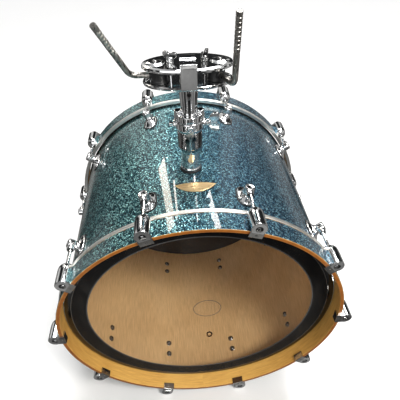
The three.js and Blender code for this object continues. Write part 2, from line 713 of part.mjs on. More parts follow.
// side is +1 for the right spur and -1 for the left one.
function spur(side) {
  const name = side > 0 ? 'right' : 'left';
  const angle = THREE.MathUtils.degToRad(SPUR_ANGLE);
  const folded = new THREE.Vector3(0, -1, 0);
  const normal = folded.clone().cross(SPUR_OPEN).normalize();
  normal.x *= side;
  const pivot = new THREE.Vector3(side * Math.sin(angle), 0, Math.cos(angle));
  pivot.multiplyScalar(SPUR_PIVOT_R).setY(SPUR_Y);
  const onAxis = (distance) => pivot.clone().addScaledVector(normal, distance);
  const onLeg = (distance) => onAxis(GAP + SPUR_HUB_T / 2).addScaledVector(folded, distance);
  const bar = (radius, from, to) => rod(radius, onLeg(from).toArray(), onLeg(to).toArray());

  const place = (geometry) => geometry.translate(0, SPUR_Y, 0).rotateY(side * angle);
  const slab = ({ halfX, halfY, from, to }) => {
    return box([-halfX, halfX], [-halfY, halfY], [SHELL_R + from, SHELL_R + to]);
  };
  const pad = place(slab(SPUR_PAD));
  const foot = place(slab(SPUR_PLATE));
  const core = place(slab(SPUR_CORE).translate(side * SPUR_CORE.shift, 0, 0));
  const boss = rod(SPUR_BOSS_R, onAxis(-SPUR_BOSS_DEPTH).toArray(), onAxis(0).toArray(), ROUND_SIDES);
  const { half, depth } = SPUR_UNDER;
  const under = place(box([-half, half], [-half, half], [SHELL_R - depth, SHELL_R + SPUR_PLATE.from]));
  const boltHole = rod(BOLT_HOLE_R, onAxis(-SPUR_BOLT_DEPTH).toArray(), onAxis(PASS).toArray());
  const bracket = cut(join(foot, core, boss), under, boltHole);

  const hub = rod(SPUR_BOSS_R, onAxis(GAP).toArray(), onAxis(GAP + SPUR_HUB_T).toArray(), ROUND_SIDES);
  const hubHole = rod(BOLT_HOLE_R, onAxis(-PASS).toArray(), onAxis(SPUR_HUB_T + 2 * PASS).toArray());
  const bore = bar(SPUR_ROD_R + GAP, SPUR_ROD_START - SOCKET_END_GAP, SPUR_LEG_END + PASS);
  const leg = cut(join(hub, bar(SPUR_LEG_R, 0, SPUR_LEG_END)), hubHole, bore);
  const inner = bar(SPUR_ROD_R, SPUR_ROD_START, SPUR_ROD_END);
  const tip = join(
    bar(SPUR_FOOT_R, SPUR_FOOT_START, SPUR_FOOT_END - SPUR_FOOT_NOSE),
    bar(SPUR_FOOT_R * 0.7, SPUR_FOOT_END - SPUR_FOOT_NOSE - 1, SPUR_FOOT_END),
  );
  const socket = bar(SPUR_ROD_R + GAP, SPUR_FOOT_START - PASS, SPUR_ROD_END + GAP);

  const lockCollar = SPUR_HUB_T + 2 * GAP;
  const lockEnd = SPUR_HUB_T + SPUR_BOLT_COLLAR;
  const lock = wingBolt(BOLT_R, SPUR_BOLT_FROM, lockCollar, lockEnd, SPUR_WING_LENGTH, SPUR_WING_SPAN);
  lock.rotateX(Math.PI / 2);
  const turn = new THREE.Quaternion().setFromUnitVectors(new THREE.Vector3(1, 0, 0), normal);
  lock.applyQuaternion(turn).translate(pivot.x, pivot.y, pivot.z);

  const group = new THREE.Group();
  group.add(part(`${name}_spur_gasket`, pad, RUBBER));
  group.add(part(`${name}_spur_bracket`, bracket, CHROME));
  group.add(part(`${name}_spur_leg`, leg, CHROME));
  group.add(part(`${name}_spur_rod`, inner, CHROME));
  group.add(part(`${name}_spur_foot`, cut(tip, socket), RUBBER));
  group.add(part(`${name}_spur_wing_bolt`, lock, CHROME));
  return group;
}

// ---------------------------------------------------------------- the drum

const drum = new THREE.Group();
drum.position.z = AXIS_HEIGHT;
drum.add(part('shell_with_lugs', shellWithLugs(), SPARKLE));
drum.add(part('air_vent', airVent(), CHROME));
drum.add(part('badge', badge(), GOLD));

const batterSide = tensionedSide('batter', CLEAR_FILM);
batterSide.rotation.z = Math.PI;
drum.add(batterSide);
drum.add(part('damping_ring', dampingRing(), BLACK_FILM));
drum.add(part('beater_patch', beaterPatch(), CLEAR_FILM));
drum.add(tensionedSide('resonant', TINTED_FILM));
drum.add(tomHolder());
drum.add(spur(1));
drum.add(spur(-1));

const bassDrum = new THREE.Group();
bassDrum.add(drum);

export default bassDrum;
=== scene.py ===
import json
import math

import bmesh
import bpy
from mathutils import Matrix, Vector


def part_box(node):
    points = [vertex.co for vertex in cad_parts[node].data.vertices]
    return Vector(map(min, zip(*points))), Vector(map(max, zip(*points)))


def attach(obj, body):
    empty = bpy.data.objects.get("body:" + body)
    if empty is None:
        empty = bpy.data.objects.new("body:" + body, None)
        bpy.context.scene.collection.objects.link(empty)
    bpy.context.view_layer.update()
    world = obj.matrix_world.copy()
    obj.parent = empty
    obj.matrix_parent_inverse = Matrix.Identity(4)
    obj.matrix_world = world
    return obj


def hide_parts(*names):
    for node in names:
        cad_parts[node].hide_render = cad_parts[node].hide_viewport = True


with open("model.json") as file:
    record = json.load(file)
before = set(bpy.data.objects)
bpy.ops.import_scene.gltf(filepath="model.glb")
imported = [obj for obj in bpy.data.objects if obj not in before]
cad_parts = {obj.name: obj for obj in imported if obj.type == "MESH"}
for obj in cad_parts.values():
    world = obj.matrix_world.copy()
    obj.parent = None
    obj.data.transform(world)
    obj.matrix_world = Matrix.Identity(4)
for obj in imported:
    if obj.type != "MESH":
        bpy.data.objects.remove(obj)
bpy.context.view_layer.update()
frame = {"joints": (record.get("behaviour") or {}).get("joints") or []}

# ---- the frame, read in millimetres

MM = 0.001


def box_mm(node):
    """Lowest and highest corner of a CAD node, in millimetres."""
    low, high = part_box(node)
    return Vector(low) / MM, Vector(high) / MM


def middle_mm(node):
    low, high = box_mm(node)
    return (low + high) / 2


HOOP_LOW, HOOP_HIGH = box_mm("resonant_hoop")
AXIS = Vector((0, 0, (HOOP_LOW.z + HOOP_HIGH.z) / 2))  # middle of the drum
HOOP_OUTER_R = (HOOP_HIGH.x - HOOP_LOW.x) / 2
HOOP_BACK = HOOP_LOW.y
HOOP_FACE = HOOP_HIGH.y
HOOP_WALL = 8
HOOP_INNER_R = HOOP_OUTER_R - HOOP_WALL

HOOP_STAND_OFF = 11.6
SHELL_R = HOOP_OUTER_R - HOOP_STAND_OFF
SHELL_WALL = 7
SHELL_END = 203.2
EDGE_DROP = 3
SHELL_TOP = Vector((0, 0, SHELL_R))

HEAD_LOW, HEAD_HIGH = box_mm("resonant_head")
HEAD_Y = HEAD_HIGH.y
COLLAR_END = HEAD_LOW.y
COLLAR_R = (HEAD_HIGH.x - HEAD_LOW.x) / 2
FILM = 0.8
RIM_BACK = 190
RIM_WIDTH = 8
RIM_INNER_R = SHELL_R + 5
RIM_OUTER_R = SHELL_R + 13
DAMPING_INNER_R = 235
HEAD_BORDER_R = 267  # the batter head's film is black from here outward

STATIONS = 10
ROD_AXIS_R = 299
LUG_Y = 137.8
LUG_BALL_Y = 142.5
LUG_SCREWS = (("a", -14.9), ("b", 14.8))  # the inner screws of a lug, from its middle

MOUNT = middle_mm("holder_post") - AXIS
MOUNT = Vector((MOUNT.x, MOUNT.y, SHELL_R))  # on top of the shell, under the tom holder

SIDE_TURNS = {"batter": Matrix.Rotation(math.pi, 4, "Z"), "resonant": Matrix.Identity(4)}
ALONG_Y = Matrix.Rotation(-math.pi / 2, 4, "X")  # stands a turned shape's axis along +Y
ALONG_X = Matrix.Rotation(math.pi / 2, 4, "Y")  # and along +X
TO_FRONT = Matrix.Rotation(math.pi / 2, 4, "X")  # and along -Y
ON_AXIS = Matrix.Identity(4)


def station_turn(index):
    """Turn about the drum's axis to tuning station 0 to 9, counted from just off the top."""
    return Matrix.Rotation(2 * math.pi * (index + 0.5) / STATIONS, 4, "Y")


def moved(x, y, z):
    return Matrix.Translation((x, y, z))


def facing(start, direction):
    """Stands a turned shape on start, with its axis along direction."""
    return Matrix.Translation(start) @ direction.to_track_quat("Z", "Y").to_matrix().to_4x4()


# ---- mesh making

WELD = 1e-4  # points closer than this become one, in millimetres


def fillet(points, radius, steps=3, closed=True):
    """A profile with each corner rounded, by up to half of its shorter side."""
    result = []
    count = len(points)
    for i, point in enumerate(points):
        corner = Vector(point)
        if not closed and i in (0, count - 1):
            result.append(tuple(corner))
            continue
        before = Vector(points[i - 1]) - corner
        after = Vector(points[(i + 1) % count]) - corner
        reach = min(radius, before.length / 2, after.length / 2)
        start = corner + before.normalized() * reach
        end = corner + after.normalized() * reach
        for step in range(steps + 1):
            t = step / steps
            result.append(tuple(start * (1 - t) ** 2 + corner * 2 * t * (1 - t) + end * t ** 2))
    return result


def tube(inner, outer, low, high):
    """The profile of a tube, or of a disc where inner is 0."""
    return [(inner, low), (outer, low), (outer, high), (inner, high)]


def skin(bm, rings, loop=False, slot=0):
    """Faces between rings of points. loop joins the last ring to the first, without end faces."""
    rows = [[bm.verts.new(point) for point in ring] for ring in rings]
    pairs = list(zip(rows, rows[1:]))
    if loop:
        pairs.append((rows[-1], rows[0]))
    faces = []
    for low, high in pairs:
        size = len(low)
        for i in range(size):
            j = (i + 1) % size
            faces.append(bm.faces.new((low[i], low[j], high[j], high[i])))
    if not loop:
        faces.append(bm.faces.new(list(reversed(rows[0]))))
        faces.append(bm.faces.new(rows[-1]))
    for face in faces:
        face.material_index = slot


def turned(bm, profile, steps=64, place=ON_AXIS, slot=0):
    """A solid of revolution about Z from (radius, height) points. It closes on itself or on the axis."""
    rings = []
    for step in range(steps):
        angle = 2 * math.pi * step / steps
        spin = Vector((math.cos(angle), math.sin(angle), 0))
        rings.append([place @ (spin * max(r, 0) + Vector((0, 0, h))) for r, h in profile])
    skin(bm, rings, loop=True, slot=slot)


def lathe(bm, profile, radius, bend, steps=64, place=ON_AXIS, slot=0):
    """A solid turned from a profile that starts and ends on the axis, with every other corner rounded."""
    turned(bm, fillet(profile, radius, bend, closed=False), steps, place, slot)


def bar(bm, start, end, radius, steps=32, edge=0.6):
    """A round bar between two points, with softened ends."""
    start, end = Vector(start), Vector(end)
    lathe(bm, tube(0, radius, 0, (end - start).length), edge, 2, steps, facing(start, end - start))


def prism(bm, outline, low, high, place=ON_AXIS, slot=0):
    """An outline in XY drawn out along Z."""
    skin(bm, [[place @ Vector((x, y, z)) for x, y in outline] for z in (low, high)], slot=slot)


def block(bm, low, high, slot=0):
    outline = [(low[0], low[1]), (high[0], low[1]), (high[0], high[1]), (low[0], high[1])]
    prism(bm, outline, low[2], high[2], slot=slot)


def soften(bm, width, angle=35):
    """Rounds every edge that turns by more than angle degrees."""
    bmesh.ops.remove_doubles(bm, verts=bm.verts, dist=WELD)
    bmesh.ops.recalc_face_normals(bm, faces=bm.faces)
    edges = [e for e in bm.edges if e.is_manifold and e.calc_face_angle(0) > math.radians(angle)]
    bmesh.ops.bevel(bm, geom=edges, offset=width, segments=2, profile=0.6, affect="EDGES",
                    clamp_overlap=True)


def placed(name, data):
    """A new object of the scene, for a mesh, a light or a camera."""
    obj = bpy.data.objects.new(name, data)
    bpy.context.scene.collection.objects.link(obj)
    return obj


def evaluated(obj):
    """A new mesh of the object with its modifiers applied."""
    graph = bpy.context.evaluated_depsgraph_get()
    return bpy.data.meshes.new_from_object(obj.evaluated_get(graph))


def evened(mesh):
    """The mesh with normals weighted by face area, so that large faces shade straight up to rounded edges."""
    obj = placed(mesh.name, mesh)
    modifier = obj.modifiers.new("weights", "WEIGHTED_NORMAL")
    modifier.keep_sharp = True
    result = evaluated(obj)
    result.name = mesh.name
    bpy.data.objects.remove(obj)
    return result


def mesh_of(name, bm, *materials, sharp=40):
    """A finished mesh in metres from a bmesh in millimetres."""
    bmesh.ops.remove_doubles(bm, verts=bm.verts, dist=WELD)
    bmesh.ops.dissolve_degenerate(bm, dist=1e-5, edges=bm.edges)
    bmesh.ops.recalc_face_normals(bm, faces=bm.faces)
    bm.transform(Matrix.Scale(MM, 4))
    mesh = bpy.data.meshes.new(name)
    bm.to_mesh(mesh)
    bm.free()
    for material in materials:
        mesh.materials.append(material)
    mesh.shade_smooth()
    mesh.set_sharp_from_angle(angle=math.radians(sharp))
    return evened(mesh)


def carved(mesh, cutter):
    """The mesh less the cutter, as a new mesh."""
    pair = [placed(data.name, data) for data in (mesh, cutter)]
    modifier = pair[0].modifiers.new("boolean", "BOOLEAN")
    modifier.object = pair[1]
    modifier.solver = "EXACT"
    modifier.operation = "DIFFERENCE"
    result = evaluated(pair[0])
    for obj in pair:
        bpy.data.objects.remove(obj)
    result.shade_smooth()
    result.set_sharp_from_angle(angle=math.radians(35))
    return evened(result)


def piece(name, mesh, body, place=ON_AXIS, replaces=()):
    """A shown piece: place is in millimetres, in the frame of the drum's middle."""
    obj = placed(name, mesh)
    world = place.copy()
    world.translation = (place.translation + AXIS) * MM
    obj.matrix_world = world
    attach(obj, body)
    if replaces:
        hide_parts(*replaces)


def part(name, bm, materials, body, place=ON_AXIS, replaces=()):
    """A shown piece made from one bmesh."""
    piece(name, mesh_of(name, bm, *materials), body, place, replaces)


# ---- materials

class Nodes:
    """Makes the nodes of a material or of the world."""

    def __init__(self, tree):
        self.tree = tree

    def feed(self, target, value):
        """Gives an input a plain value, or a node output to link."""
        if isinstance(value, bpy.types.NodeSocket):
            self.tree.links.new(value, target)
        else:
            target.default_value = value

    def node(self, kind, output=0, properties=None, **inputs):
        """An output of a new node; inputs are given by name, or as i0, i1 and so on."""
        item = self.tree.nodes.new("ShaderNode" + kind)
        for key, value in (properties or {}).items():
            setattr(item, key, value)
        for key, value in inputs.items():
            by_number = key[0] == "i" and key[1:].isdigit()
            self.feed(item.inputs[int(key[1:]) if by_number else key], value)
        return item.outputs[output]

    def vector(self, operation, first, second):
        return self.node("VectorMath", 0, {"operation": operation}, i0=first, i1=second)

    def ramp(self, factor, *stops):
        """Colour from a factor; stops are (position, colour)."""
        item = self.tree.nodes.new("ShaderNodeValToRGB")
        self.feed(item.inputs[0], factor)
        elements = item.color_ramp.elements
        while len(elements) < len(stops):
            elements.new(1.0)
        for element, (position, color) in zip(elements, stops):
            element.position = position
            element.color = (*color, 1) if len(color) == 3 else color
        return item.outputs[0]

    def spread(self, factor, low, high, to_low, to_high):
        """Maps a factor from one range to another, held at the ends."""
        return self.node("MapRange", 0, i0=factor, i1=low, i2=high, i3=to_low, i4=to_high)

    def mix(self, factor, first, second):
        item = self.tree.nodes.new("ShaderNodeMix")
        item.data_type = "RGBA"
        self.feed(item.inputs[0], factor)
        for index, color in ((6, first), (7, second)):
            self.feed(item.inputs[index], color if isinstance(color, bpy.types.NodeSocket) else (*color, 1))
        return item.outputs[2]

    def math(self, operation, first, second):
        return self.node("Math", 0, {"operation": operation}, i0=first, i1=second)


class Shader(Nodes):
    """A Principled material and the few nodes that drive it."""

    def __init__(self, name, **settings):
        self.material = bpy.data.materials.new(name)
        self.material.use_nodes = True
        super().__init__(self.material.node_tree)
        self.bsdf = self.tree.nodes["Principled BSDF"]
        for key, value in settings.items():
            self.set(key.replace("_", " ").title().replace("Ior", "IOR"), value)

    def set(self, socket, value):
        self.feed(self.bsdf.inputs[socket], value)

    def place(self, stretch=(1, 1, 1)):
        """Object coordinates, stretched, and shifted for each object so that copies differ."""
        coords = self.node("TexCoord", "Object")
        shift = self.node("ObjectInfo", "Random")
        return self.vector("MULTIPLY", self.vector("ADD", coords, shift), stretch)

    def noise(self, scale, detail=3.0, stretch=(1, 1, 1), vector=None, roughness=0.55):
        vector = vector or self.place(stretch)
        return self.node("TexNoise", "Fac", Vector=vector, Scale=scale, Detail=detail, Roughness=roughness)

    def flakes(self, scale):
        return self.node("TexVoronoi", "Color", Vector=self.place(), Scale=scale)

    def bump(self, height, distance, strength):
        self.set("Normal", self.node("Bump", 0, Height=height, Distance=distance, Strength=strength))

    def around_axis(self):
        """(angle about Y, distance from it, place along it) of the object's own space."""
        parts = self.tree.nodes.new("ShaderNodeSeparateXYZ")
        self.tree.links.new(self.node("TexCoord", "Object"), parts.inputs[0])
        angle = self.math("ARCTAN2", parts.outputs[0], parts.outputs[2])
        flat = self.node("CombineXYZ", 0, i0=parts.outputs[0], i2=parts.outputs[2])
        distance = self.node("VectorMath", "Value", {"operation": "LENGTH"}, i0=flat)
        return angle, distance, parts.outputs[1]


FINE_FLAKES, COARSE_FLAKES = 900, 430  # flakes to a metre
GRAIN_R = 0.28  # turns an angle round the wall into metres


def sparkle(name):
    """Metal flakes of about a millimetre in clear lacquer, greener to the left and bluer to the right."""
    s = Shader(name, metallic=0.7, roughness=0.36, coat_weight=1.0, coat_roughness=0.015, coat_ior=1.45)
    fine = s.flakes(FINE_FLAKES)
    fine_value = s.node("SeparateColor", 0, Color=fine)
    coarse_value = s.node("SeparateColor", 1, Color=s.flakes(COARSE_FLAKES))
    flake = s.math("MULTIPLY", fine_value, s.spread(coarse_value, 0, 1, 0.3, 1.4))
    teal = s.ramp(flake, (0.0, (0.001, 0.007, 0.009)), (0.35, (0.007, 0.042, 0.058)),
                  (0.7, (0.034, 0.175, 0.22)), (0.95, (0.5, 0.95, 0.92)))
    blue = s.ramp(flake, (0.0, (0.001, 0.006, 0.012)), (0.35, (0.007, 0.036, 0.070)),
                  (0.7, (0.030, 0.135, 0.25)), (0.95, (0.45, 0.85, 1.0)))
    side = s.node("SeparateXYZ", 0, Vector=s.node("NewGeometry", "Position"))
    s.set("Base Color", s.mix(s.spread(side, -0.08, 0.10, 0, 1), teal, blue))
    tilt = s.vector("SUBTRACT", fine, (0.5, 0.5, 0.5))
    normal = s.node("NewGeometry", "Normal")
    tilted = s.vector("ADD", normal, tilt)
    s.set("Normal", s.node("VectorMath", 0, {"operation": "NORMALIZE"}, i0=tilted))
    return s.material


def shell_wood(name, light, dark, along_axis):
    """Straight-grained wood inside a round wall, with the grain along the drum or round it."""
    s = Shader(name, roughness=0.42, coat_weight=0.25, coat_roughness=0.3)
    angle, _, along = s.around_axis()
    across = s.math("MULTIPLY", angle, GRAIN_R)
    first, second = (12.0, 1.0) if along_axis else (1.0, 12.0)
    grain_at = s.node("CombineXYZ", 0, i0=s.math("MULTIPLY", across, first),
                      i1=s.math("MULTIPLY", along, second))
    grain = s.noise(28, 6.0, vector=grain_at, roughness=0.65)
    cloud = s.noise(4.5, 2.0)
    factor = s.math("ADD", s.math("MULTIPLY", grain, 0.6), s.math("MULTIPLY", cloud, 0.4))
    s.set("Base Color", s.ramp(factor, (0.3, dark), (0.62, light)))
    s.bump(grain, 0.0004, 0.3)
    return s.material


def hoop_edge(name):
    """The hoop's ply edge: orange in the middle and cream along both borders."""
    s = Shader(name, roughness=0.4, coat_weight=0.4, coat_roughness=0.15)
    _, distance, _ = s.around_axis()
    across = s.spread(distance, HOOP_INNER_R * MM, HOOP_OUTER_R * MM, 0, 1)
    ply = s.ramp(across, (0.0, (0.40, 0.20, 0.07)), (0.15, (0.50, 0.17, 0.02)), (0.5, (0.40, 0.12, 0.012)),
                 (0.8, (0.55, 0.21, 0.03)), (0.93, (0.68, 0.46, 0.2)), (1.0, (0.7, 0.5, 0.26)))
    s.set("Base Color", s.mix(s.spread(s.noise(90, 4.0), 0.35, 0.7, 0, 0.45), ply, (0.16, 0.045, 0.01)))
    s.bump(s.noise(400), 0.0002, 0.3)
    return s.material


def chrome(name, color=(0.86, 0.87, 0.88), wear=0.12, waves=0.1, polish=0.04):
    """Plated metal with slight waves, smudges and fine scratches."""
    s = Shader(name, metallic=1.0)
    smudge = s.noise(45, 4.0)
    dulled = tuple(c * 0.72 for c in color)
    s.set("Base Color", s.mix(s.spread(smudge, 0.45, 0.75, 0, 0.5), color, dulled))
    s.set("Roughness", s.spread(s.noise(120, 5.0), 0.35, 0.75, polish, polish + wear))
    scratch = s.noise(60, 3.0, stretch=(1, 14, 14))
    s.bump(s.math("ADD", s.noise(70, 1.0), s.math("MULTIPLY", scratch, 0.15)), 0.0006, waves)
    return s.material


def drawn_steel(name):
    """Bare drawn bar: grey-brown, with lines along its length."""
    s = Shader(name, metallic=1.0)
    lines = s.noise(260, 4.0, stretch=(1, 1, 0.12))
    s.set("Base Color", s.ramp(lines, (0.3, (0.18, 0.17, 0.155)), (0.55, (0.5, 0.48, 0.45)),
                               (0.75, (0.78, 0.76, 0.72))))
    s.set("Roughness", s.spread(lines, 0.3, 0.7, 0.22, 0.42))
    s.bump(lines, 0.0003, 0.5)
    return s.material


def clear_film(name, haze_low, haze_high, black_from=None):
    """Plastic film, seen through from the front, brighter at a grazing angle and lightly scuffed.
    black_from is the distance from the drum's axis where a black border starts."""
    s = Shader(name, roughness=0.1)
    facing = s.math("POWER", s.node("LayerWeight", "Facing", Blend=0.5), 4.0)
    scuff = s.noise(30, 5.0, stretch=(1, 1, 0.4))
    haze = s.spread(scuff, 0.45, 0.8, haze_low, haze_high)
    alpha = s.math("ADD", s.math("MULTIPLY", facing, 0.15), haze)
    tint = s.mix(scuff, (0.5, 0.48, 0.45), (0.7, 0.68, 0.64))
    if black_from:
        _, distance, _ = s.around_axis()
        border = s.spread(distance, (black_from - 0.5) * MM, (black_from + 0.5) * MM, 0, 1)
        alpha = s.math("MAXIMUM", alpha, border)
        tint = s.mix(border, tint, (0.006, 0.006, 0.006))
    s.set("Alpha", alpha)
    s.set("Base Color", tint)
    return s.material


def dark_film(name, color, radius_line=None):
    """Dark film with a faint texture; radius_line is a grey line at that distance from the drum's axis."""
    s = Shader(name, specular_ior_level=0.04)
    mottle = s.noise(14, 3.0)
    base = s.mix(mottle, color, tuple(c * 1.8 for c in color))
    if radius_line:
        _, distance, _ = s.around_axis()
        line = s.ramp(s.spread(distance, radius_line * MM, (radius_line + 3.5) * MM, 0, 1),
                      (0.0, (1, 1, 1)), (0.6, (1, 1, 1)), (0.8, (0, 0, 0)))
        base = s.mix(line, base, (0.10, 0.10, 0.10))
    s.set("Base Color", base)
    s.set("Roughness", s.spread(s.noise(260), 0.3, 0.7, 0.55, 0.75))
    s.bump(s.noise(900), 0.0001, 0.3)
    return s.material


def moulded(name, color, gloss):
    """Moulded rubber or nylon with a fine grain and paler rubbed spots."""
    s = Shader(name)
    rub = s.noise(80, 4.0)
    rubbed = tuple(c * 2.2 + 0.01 for c in color)
    s.set("Base Color", s.mix(s.spread(rub, 0.55, 0.8, 0, 0.5), color, rubbed))
    s.set("Roughness", s.spread(rub, 0.3, 0.7, gloss, gloss + 0.2))
    s.bump(s.noise(1100), 0.0002, 0.5)
    return s.material


def brushed_gold(name):
    """Pale gold plate, brushed along its length."""
    s = Shader(name, metallic=0.75)
    lines = s.noise(500, 3.0, stretch=(0.05, 1, 1))
    s.set("Base Color", s.ramp(lines, (0.3, (0.55, 0.36, 0.16)), (0.7, (0.85, 0.66, 0.38))))
    s.set("Roughness", s.spread(lines, 0.3, 0.7, 0.25, 0.42))
    s.bump(lines, 0.0001, 0.4)
    return s.material


SPARKLE = sparkle("sparkle_lacquer")
SHELL_WOOD = shell_wood("shell_inner_wood", (0.84, 0.56, 0.27), (0.50, 0.29, 0.12), True)
HOOP_WOOD = shell_wood("hoop_maple", (1.0, 0.60, 0.16), (0.62, 0.28, 0.05), False)
HOOP_EDGE = hoop_edge("hoop_ply_edge")
CHROME = chrome("chrome_plate")
DARK_CHROME = chrome("dark_chrome_plate", (0.30, 0.30, 0.30), 0.2)
HOOK_METAL = chrome("worn_hook_metal", (0.55, 0.54, 0.52), 0.2)
SATIN = chrome("satin_metal", (0.97, 0.96, 0.92), 0.12, 0.05, 0.3)
STEEL = drawn_steel("drawn_steel")
CLEAR = clear_film("clear_film", 0.004, 0.02, HEAD_BORDER_R)
PATCH_CLEAR = clear_film("patch_film", 0.0, 0.008)
BLACK_FILM = dark_film("black_film", (0.003, 0.003, 0.0035), DAMPING_INNER_R)
TINTED_FILM = dark_film("tinted_film", (0.03, 0.024, 0.02))
RUBBER = moulded("black_rubber", (0.012, 0.012, 0.013), 0.5)
NYLON = moulded("black_nylon", (0.02, 0.021, 0.022), 0.3)
GOLD = brushed_gold("brushed_gold")

# ---- shell

ROUND = 240  # steps round the drum's large rings


def shell():
    """A tube whose ends come to a bearing edge, lacquered outside and bare wood inside."""
    inner = SHELL_R - SHELL_WALL
    crest = SHELL_R - 3
    crest_half = 0.7
    half = [(SHELL_R, SHELL_END - EDGE_DROP), (crest + crest_half, SHELL_END),
            (crest - crest_half, SHELL_END), (inner, SHELL_END - 4)]
    bm = bmesh.new()
    turned(bm, half + [(r, -h) for r, h in reversed(half)], ROUND, ALONG_Y)
    for face in bm.faces:
        centre = face.calc_center_median()
        on_outside = math.hypot(centre.x, centre.z) > SHELL_R - 0.5
        face.material_index = 0 if on_outside else 1
    part("shell", bm, [SPARKLE, SHELL_WOOD], "shell", replaces=["shell_with_lugs"])


def on_shell(x, height):
    """Distance from the drum's axis plane of a point x off centre and height above the shell."""
    return math.sqrt((SHELL_R + height) ** 2 - x * x)


def oval(half_x, half_y, power=2.6, count=40):
    """Points of a squarish oval."""
    points = []
    for step in range(count):
        angle = 2 * math.pi * step / count
        c, s = math.cos(angle), math.sin(angle)
        points.append((half_x * math.copysign(abs(c) ** (2 / power), c),
                       half_y * math.copysign(abs(s) ** (2 / power), s)))
    return points


def oval_stack(bm, levels, centre_y, power=2.6):
    """Ovals (half x, half y, height above the shell, shift along y) stacked on the shell's curve."""
    rings = []
    for half_x, half_y, height, shift in levels:
        rings.append([Vector((x, centre_y + shift + y, on_shell(x, height)))
                      for x, y in oval(half_x, half_y, power)])
    skin(bm, rings)


LUG_BALL = moved(0, LUG_BALL_Y, ROD_AXIS_R)


def lug_mesh():
    """A raised foot and neck, with a flat-topped ball and a barrel that points at the hoop."""
    bm = bmesh.new()
    rise = ROD_AXIS_R - SHELL_R
    shift = LUG_BALL_Y - LUG_Y
    oval_stack(bm, [(14.4, 24.4, 1.0, 0), (14.6, 24.6, 2.2, 0), (14.0, 23.8, 3.6, 0), (12.4, 21.6, 4.8, 0.4),
                    (10.4, 17.5, 6.2, 1.6), (8.6, 13.0, 8.4, 3.0), (7.4, 9.8, 11, 4.0),
                    (7.2, 8.6, rise - 6, shift)], LUG_Y)
    ball = [(0, -8.6), (5.6, -8.6), (9.4, -4.5), (9.4, 5.4), (8.2, 7.6), (6.6, 7.2), (5.4, 5.9), (0, 5.2)]
    lathe(bm, ball, 1.4, 3, 48, LUG_BALL)
    barrel = [(3.4, 4), (7.2, 4), (7.2, 12.6), (6.6, 13.4), (6.6, 15.2), (3.4, 15.2)]
    turned(bm, fillet(barrel, 0.5, 2), 40, LUG_BALL @ ALONG_Y)
    return mesh_of("lug", bm, CHROME)


def lug_gasket_mesh():
    bm = bmesh.new()
    oval_stack(bm, [(15.8, 25.8, 0.05, 0), (16.4, 26.4, 0.4, 0), (16.4, 26.4, 1.1, 0), (15.6, 25.6, 1.5, 0)],
               LUG_Y)
    return mesh_of("lug_gasket", bm, RUBBER)


def lug_nut_mesh():
    """The dark swivel nut in the lug's mouth, round the rod."""
    bm = bmesh.new()
    turned(bm, fillet(tube(3.2, 6.0, 6, 15.9), 0.5, 2), 32, LUG_BALL @ ALONG_Y)
    return mesh_of("lug_nut", bm, NYLON)


def lug_screw_mesh():
    """A pan-head screw and washer on the inside of the shell, pointing to the drum's middle."""
    bm = bmesh.new()
    wall = SHELL_R - SHELL_WALL
    head = [(0, -1), (7, -1), (7, 1.0), (4.6, 1.2), (4.6, 3.2), (3.0, 4.6), (0, 5.0)]
    lathe(bm, head, 0.8, 2, 28, moved(0, 0, wall) @ Matrix.Rotation(math.pi, 4, "X"))
    mesh = mesh_of("lug_screw", bm, DARK_CHROME)
    long, thin = 4.0, 0.5
    for x, y in ((long, thin), (thin, long)):
        cutter = bmesh.new()
        block(cutter, (-x, -y, wall - 5.4), (x, y, wall - 3.9))
        mesh = carved(mesh, mesh_of("cross", cutter))
    return mesh


def lugs():
    meshes = {"lug": (lug_mesh(), "chrome"), "lug_gasket": (lug_gasket_mesh(), "rubber"),
              "lug_nut": (lug_nut_mesh(), "nylon")}
    screw = lug_screw_mesh()
    for side, turn in SIDE_TURNS.items():
        for i in range(STATIONS):
            place = turn @ station_turn(i)
            for kind, (mesh, slot) in meshes.items():
                piece(f"{side}_{kind}_{i + 1:02d}", mesh, "shell", place)
            for end, shift in LUG_SCREWS:
                at = place @ moved(0, LUG_Y + shift, 0)
                piece(f"{side}_lug_screw_{i + 1:02d}{end}", screw, "shell", at)


def air_vent():
    """An eyelet that clamps the shell's wall."""
    centre = middle_mm("air_vent") - AXIS
    turn = Matrix.Rotation(math.atan2(centre.x, centre.z), 4, "Y")
    inside = -SHELL_WALL
    eyelet = [(4.2, inside - 1.4), (8.6, inside - 1.2), (8.6, inside - 0.2), (5.0, inside - 0.2), (5.0, 0.2),
              (8.8, 0.2), (8.2, 1.5), (4.2, 1.8)]
    bm = bmesh.new()
    turned(bm, fillet(eyelet, 0.6, 2), 48, turn @ moved(0, centre.y, SHELL_R))
    part("air_vent_eyelet", bm, [CHROME], "shell", replaces=["air_vent"])


def badge():
    """A boat-shaped plate that follows the shell, with a raised border and no lettering."""
    low, high = box_mm("badge")
    half = (high.x - low.x) / 2
    back, front = high.y, low.y
    depth = back - front
    count = 24

    def outline(inset):
        top, bottom = [], []
        for step in range(count + 1):
            u = -1 + 2 * step / count
            x = u * (half - 1.6 * inset)
            bow = 1 - u * u
            top.append((x, back - inset - 2.6 * abs(u) ** 2 + 1.0 * bow - 1.0))
            drop = (depth - 4) * (1 - abs(u) ** 2.2) ** 0.9
            bottom.append((x, min(back - 3.2 - drop + inset, top[-1][1] - 0.05)))
        return bottom + list(reversed(top[1:-1]))

    bm = bmesh.new()
    levels = [(0, 0.15), (0, 1.0), (0.5, 1.35), (1.6, 1.35), (1.9, 1.0)]
    skin(bm, [[Vector((x, y, on_shell(x, height))) for x, y in outline(inset)] for inset, height in levels])
    part("badge_plate", bm, [GOLD], "shell", replaces=["badge"])


# ---- tensioned sides

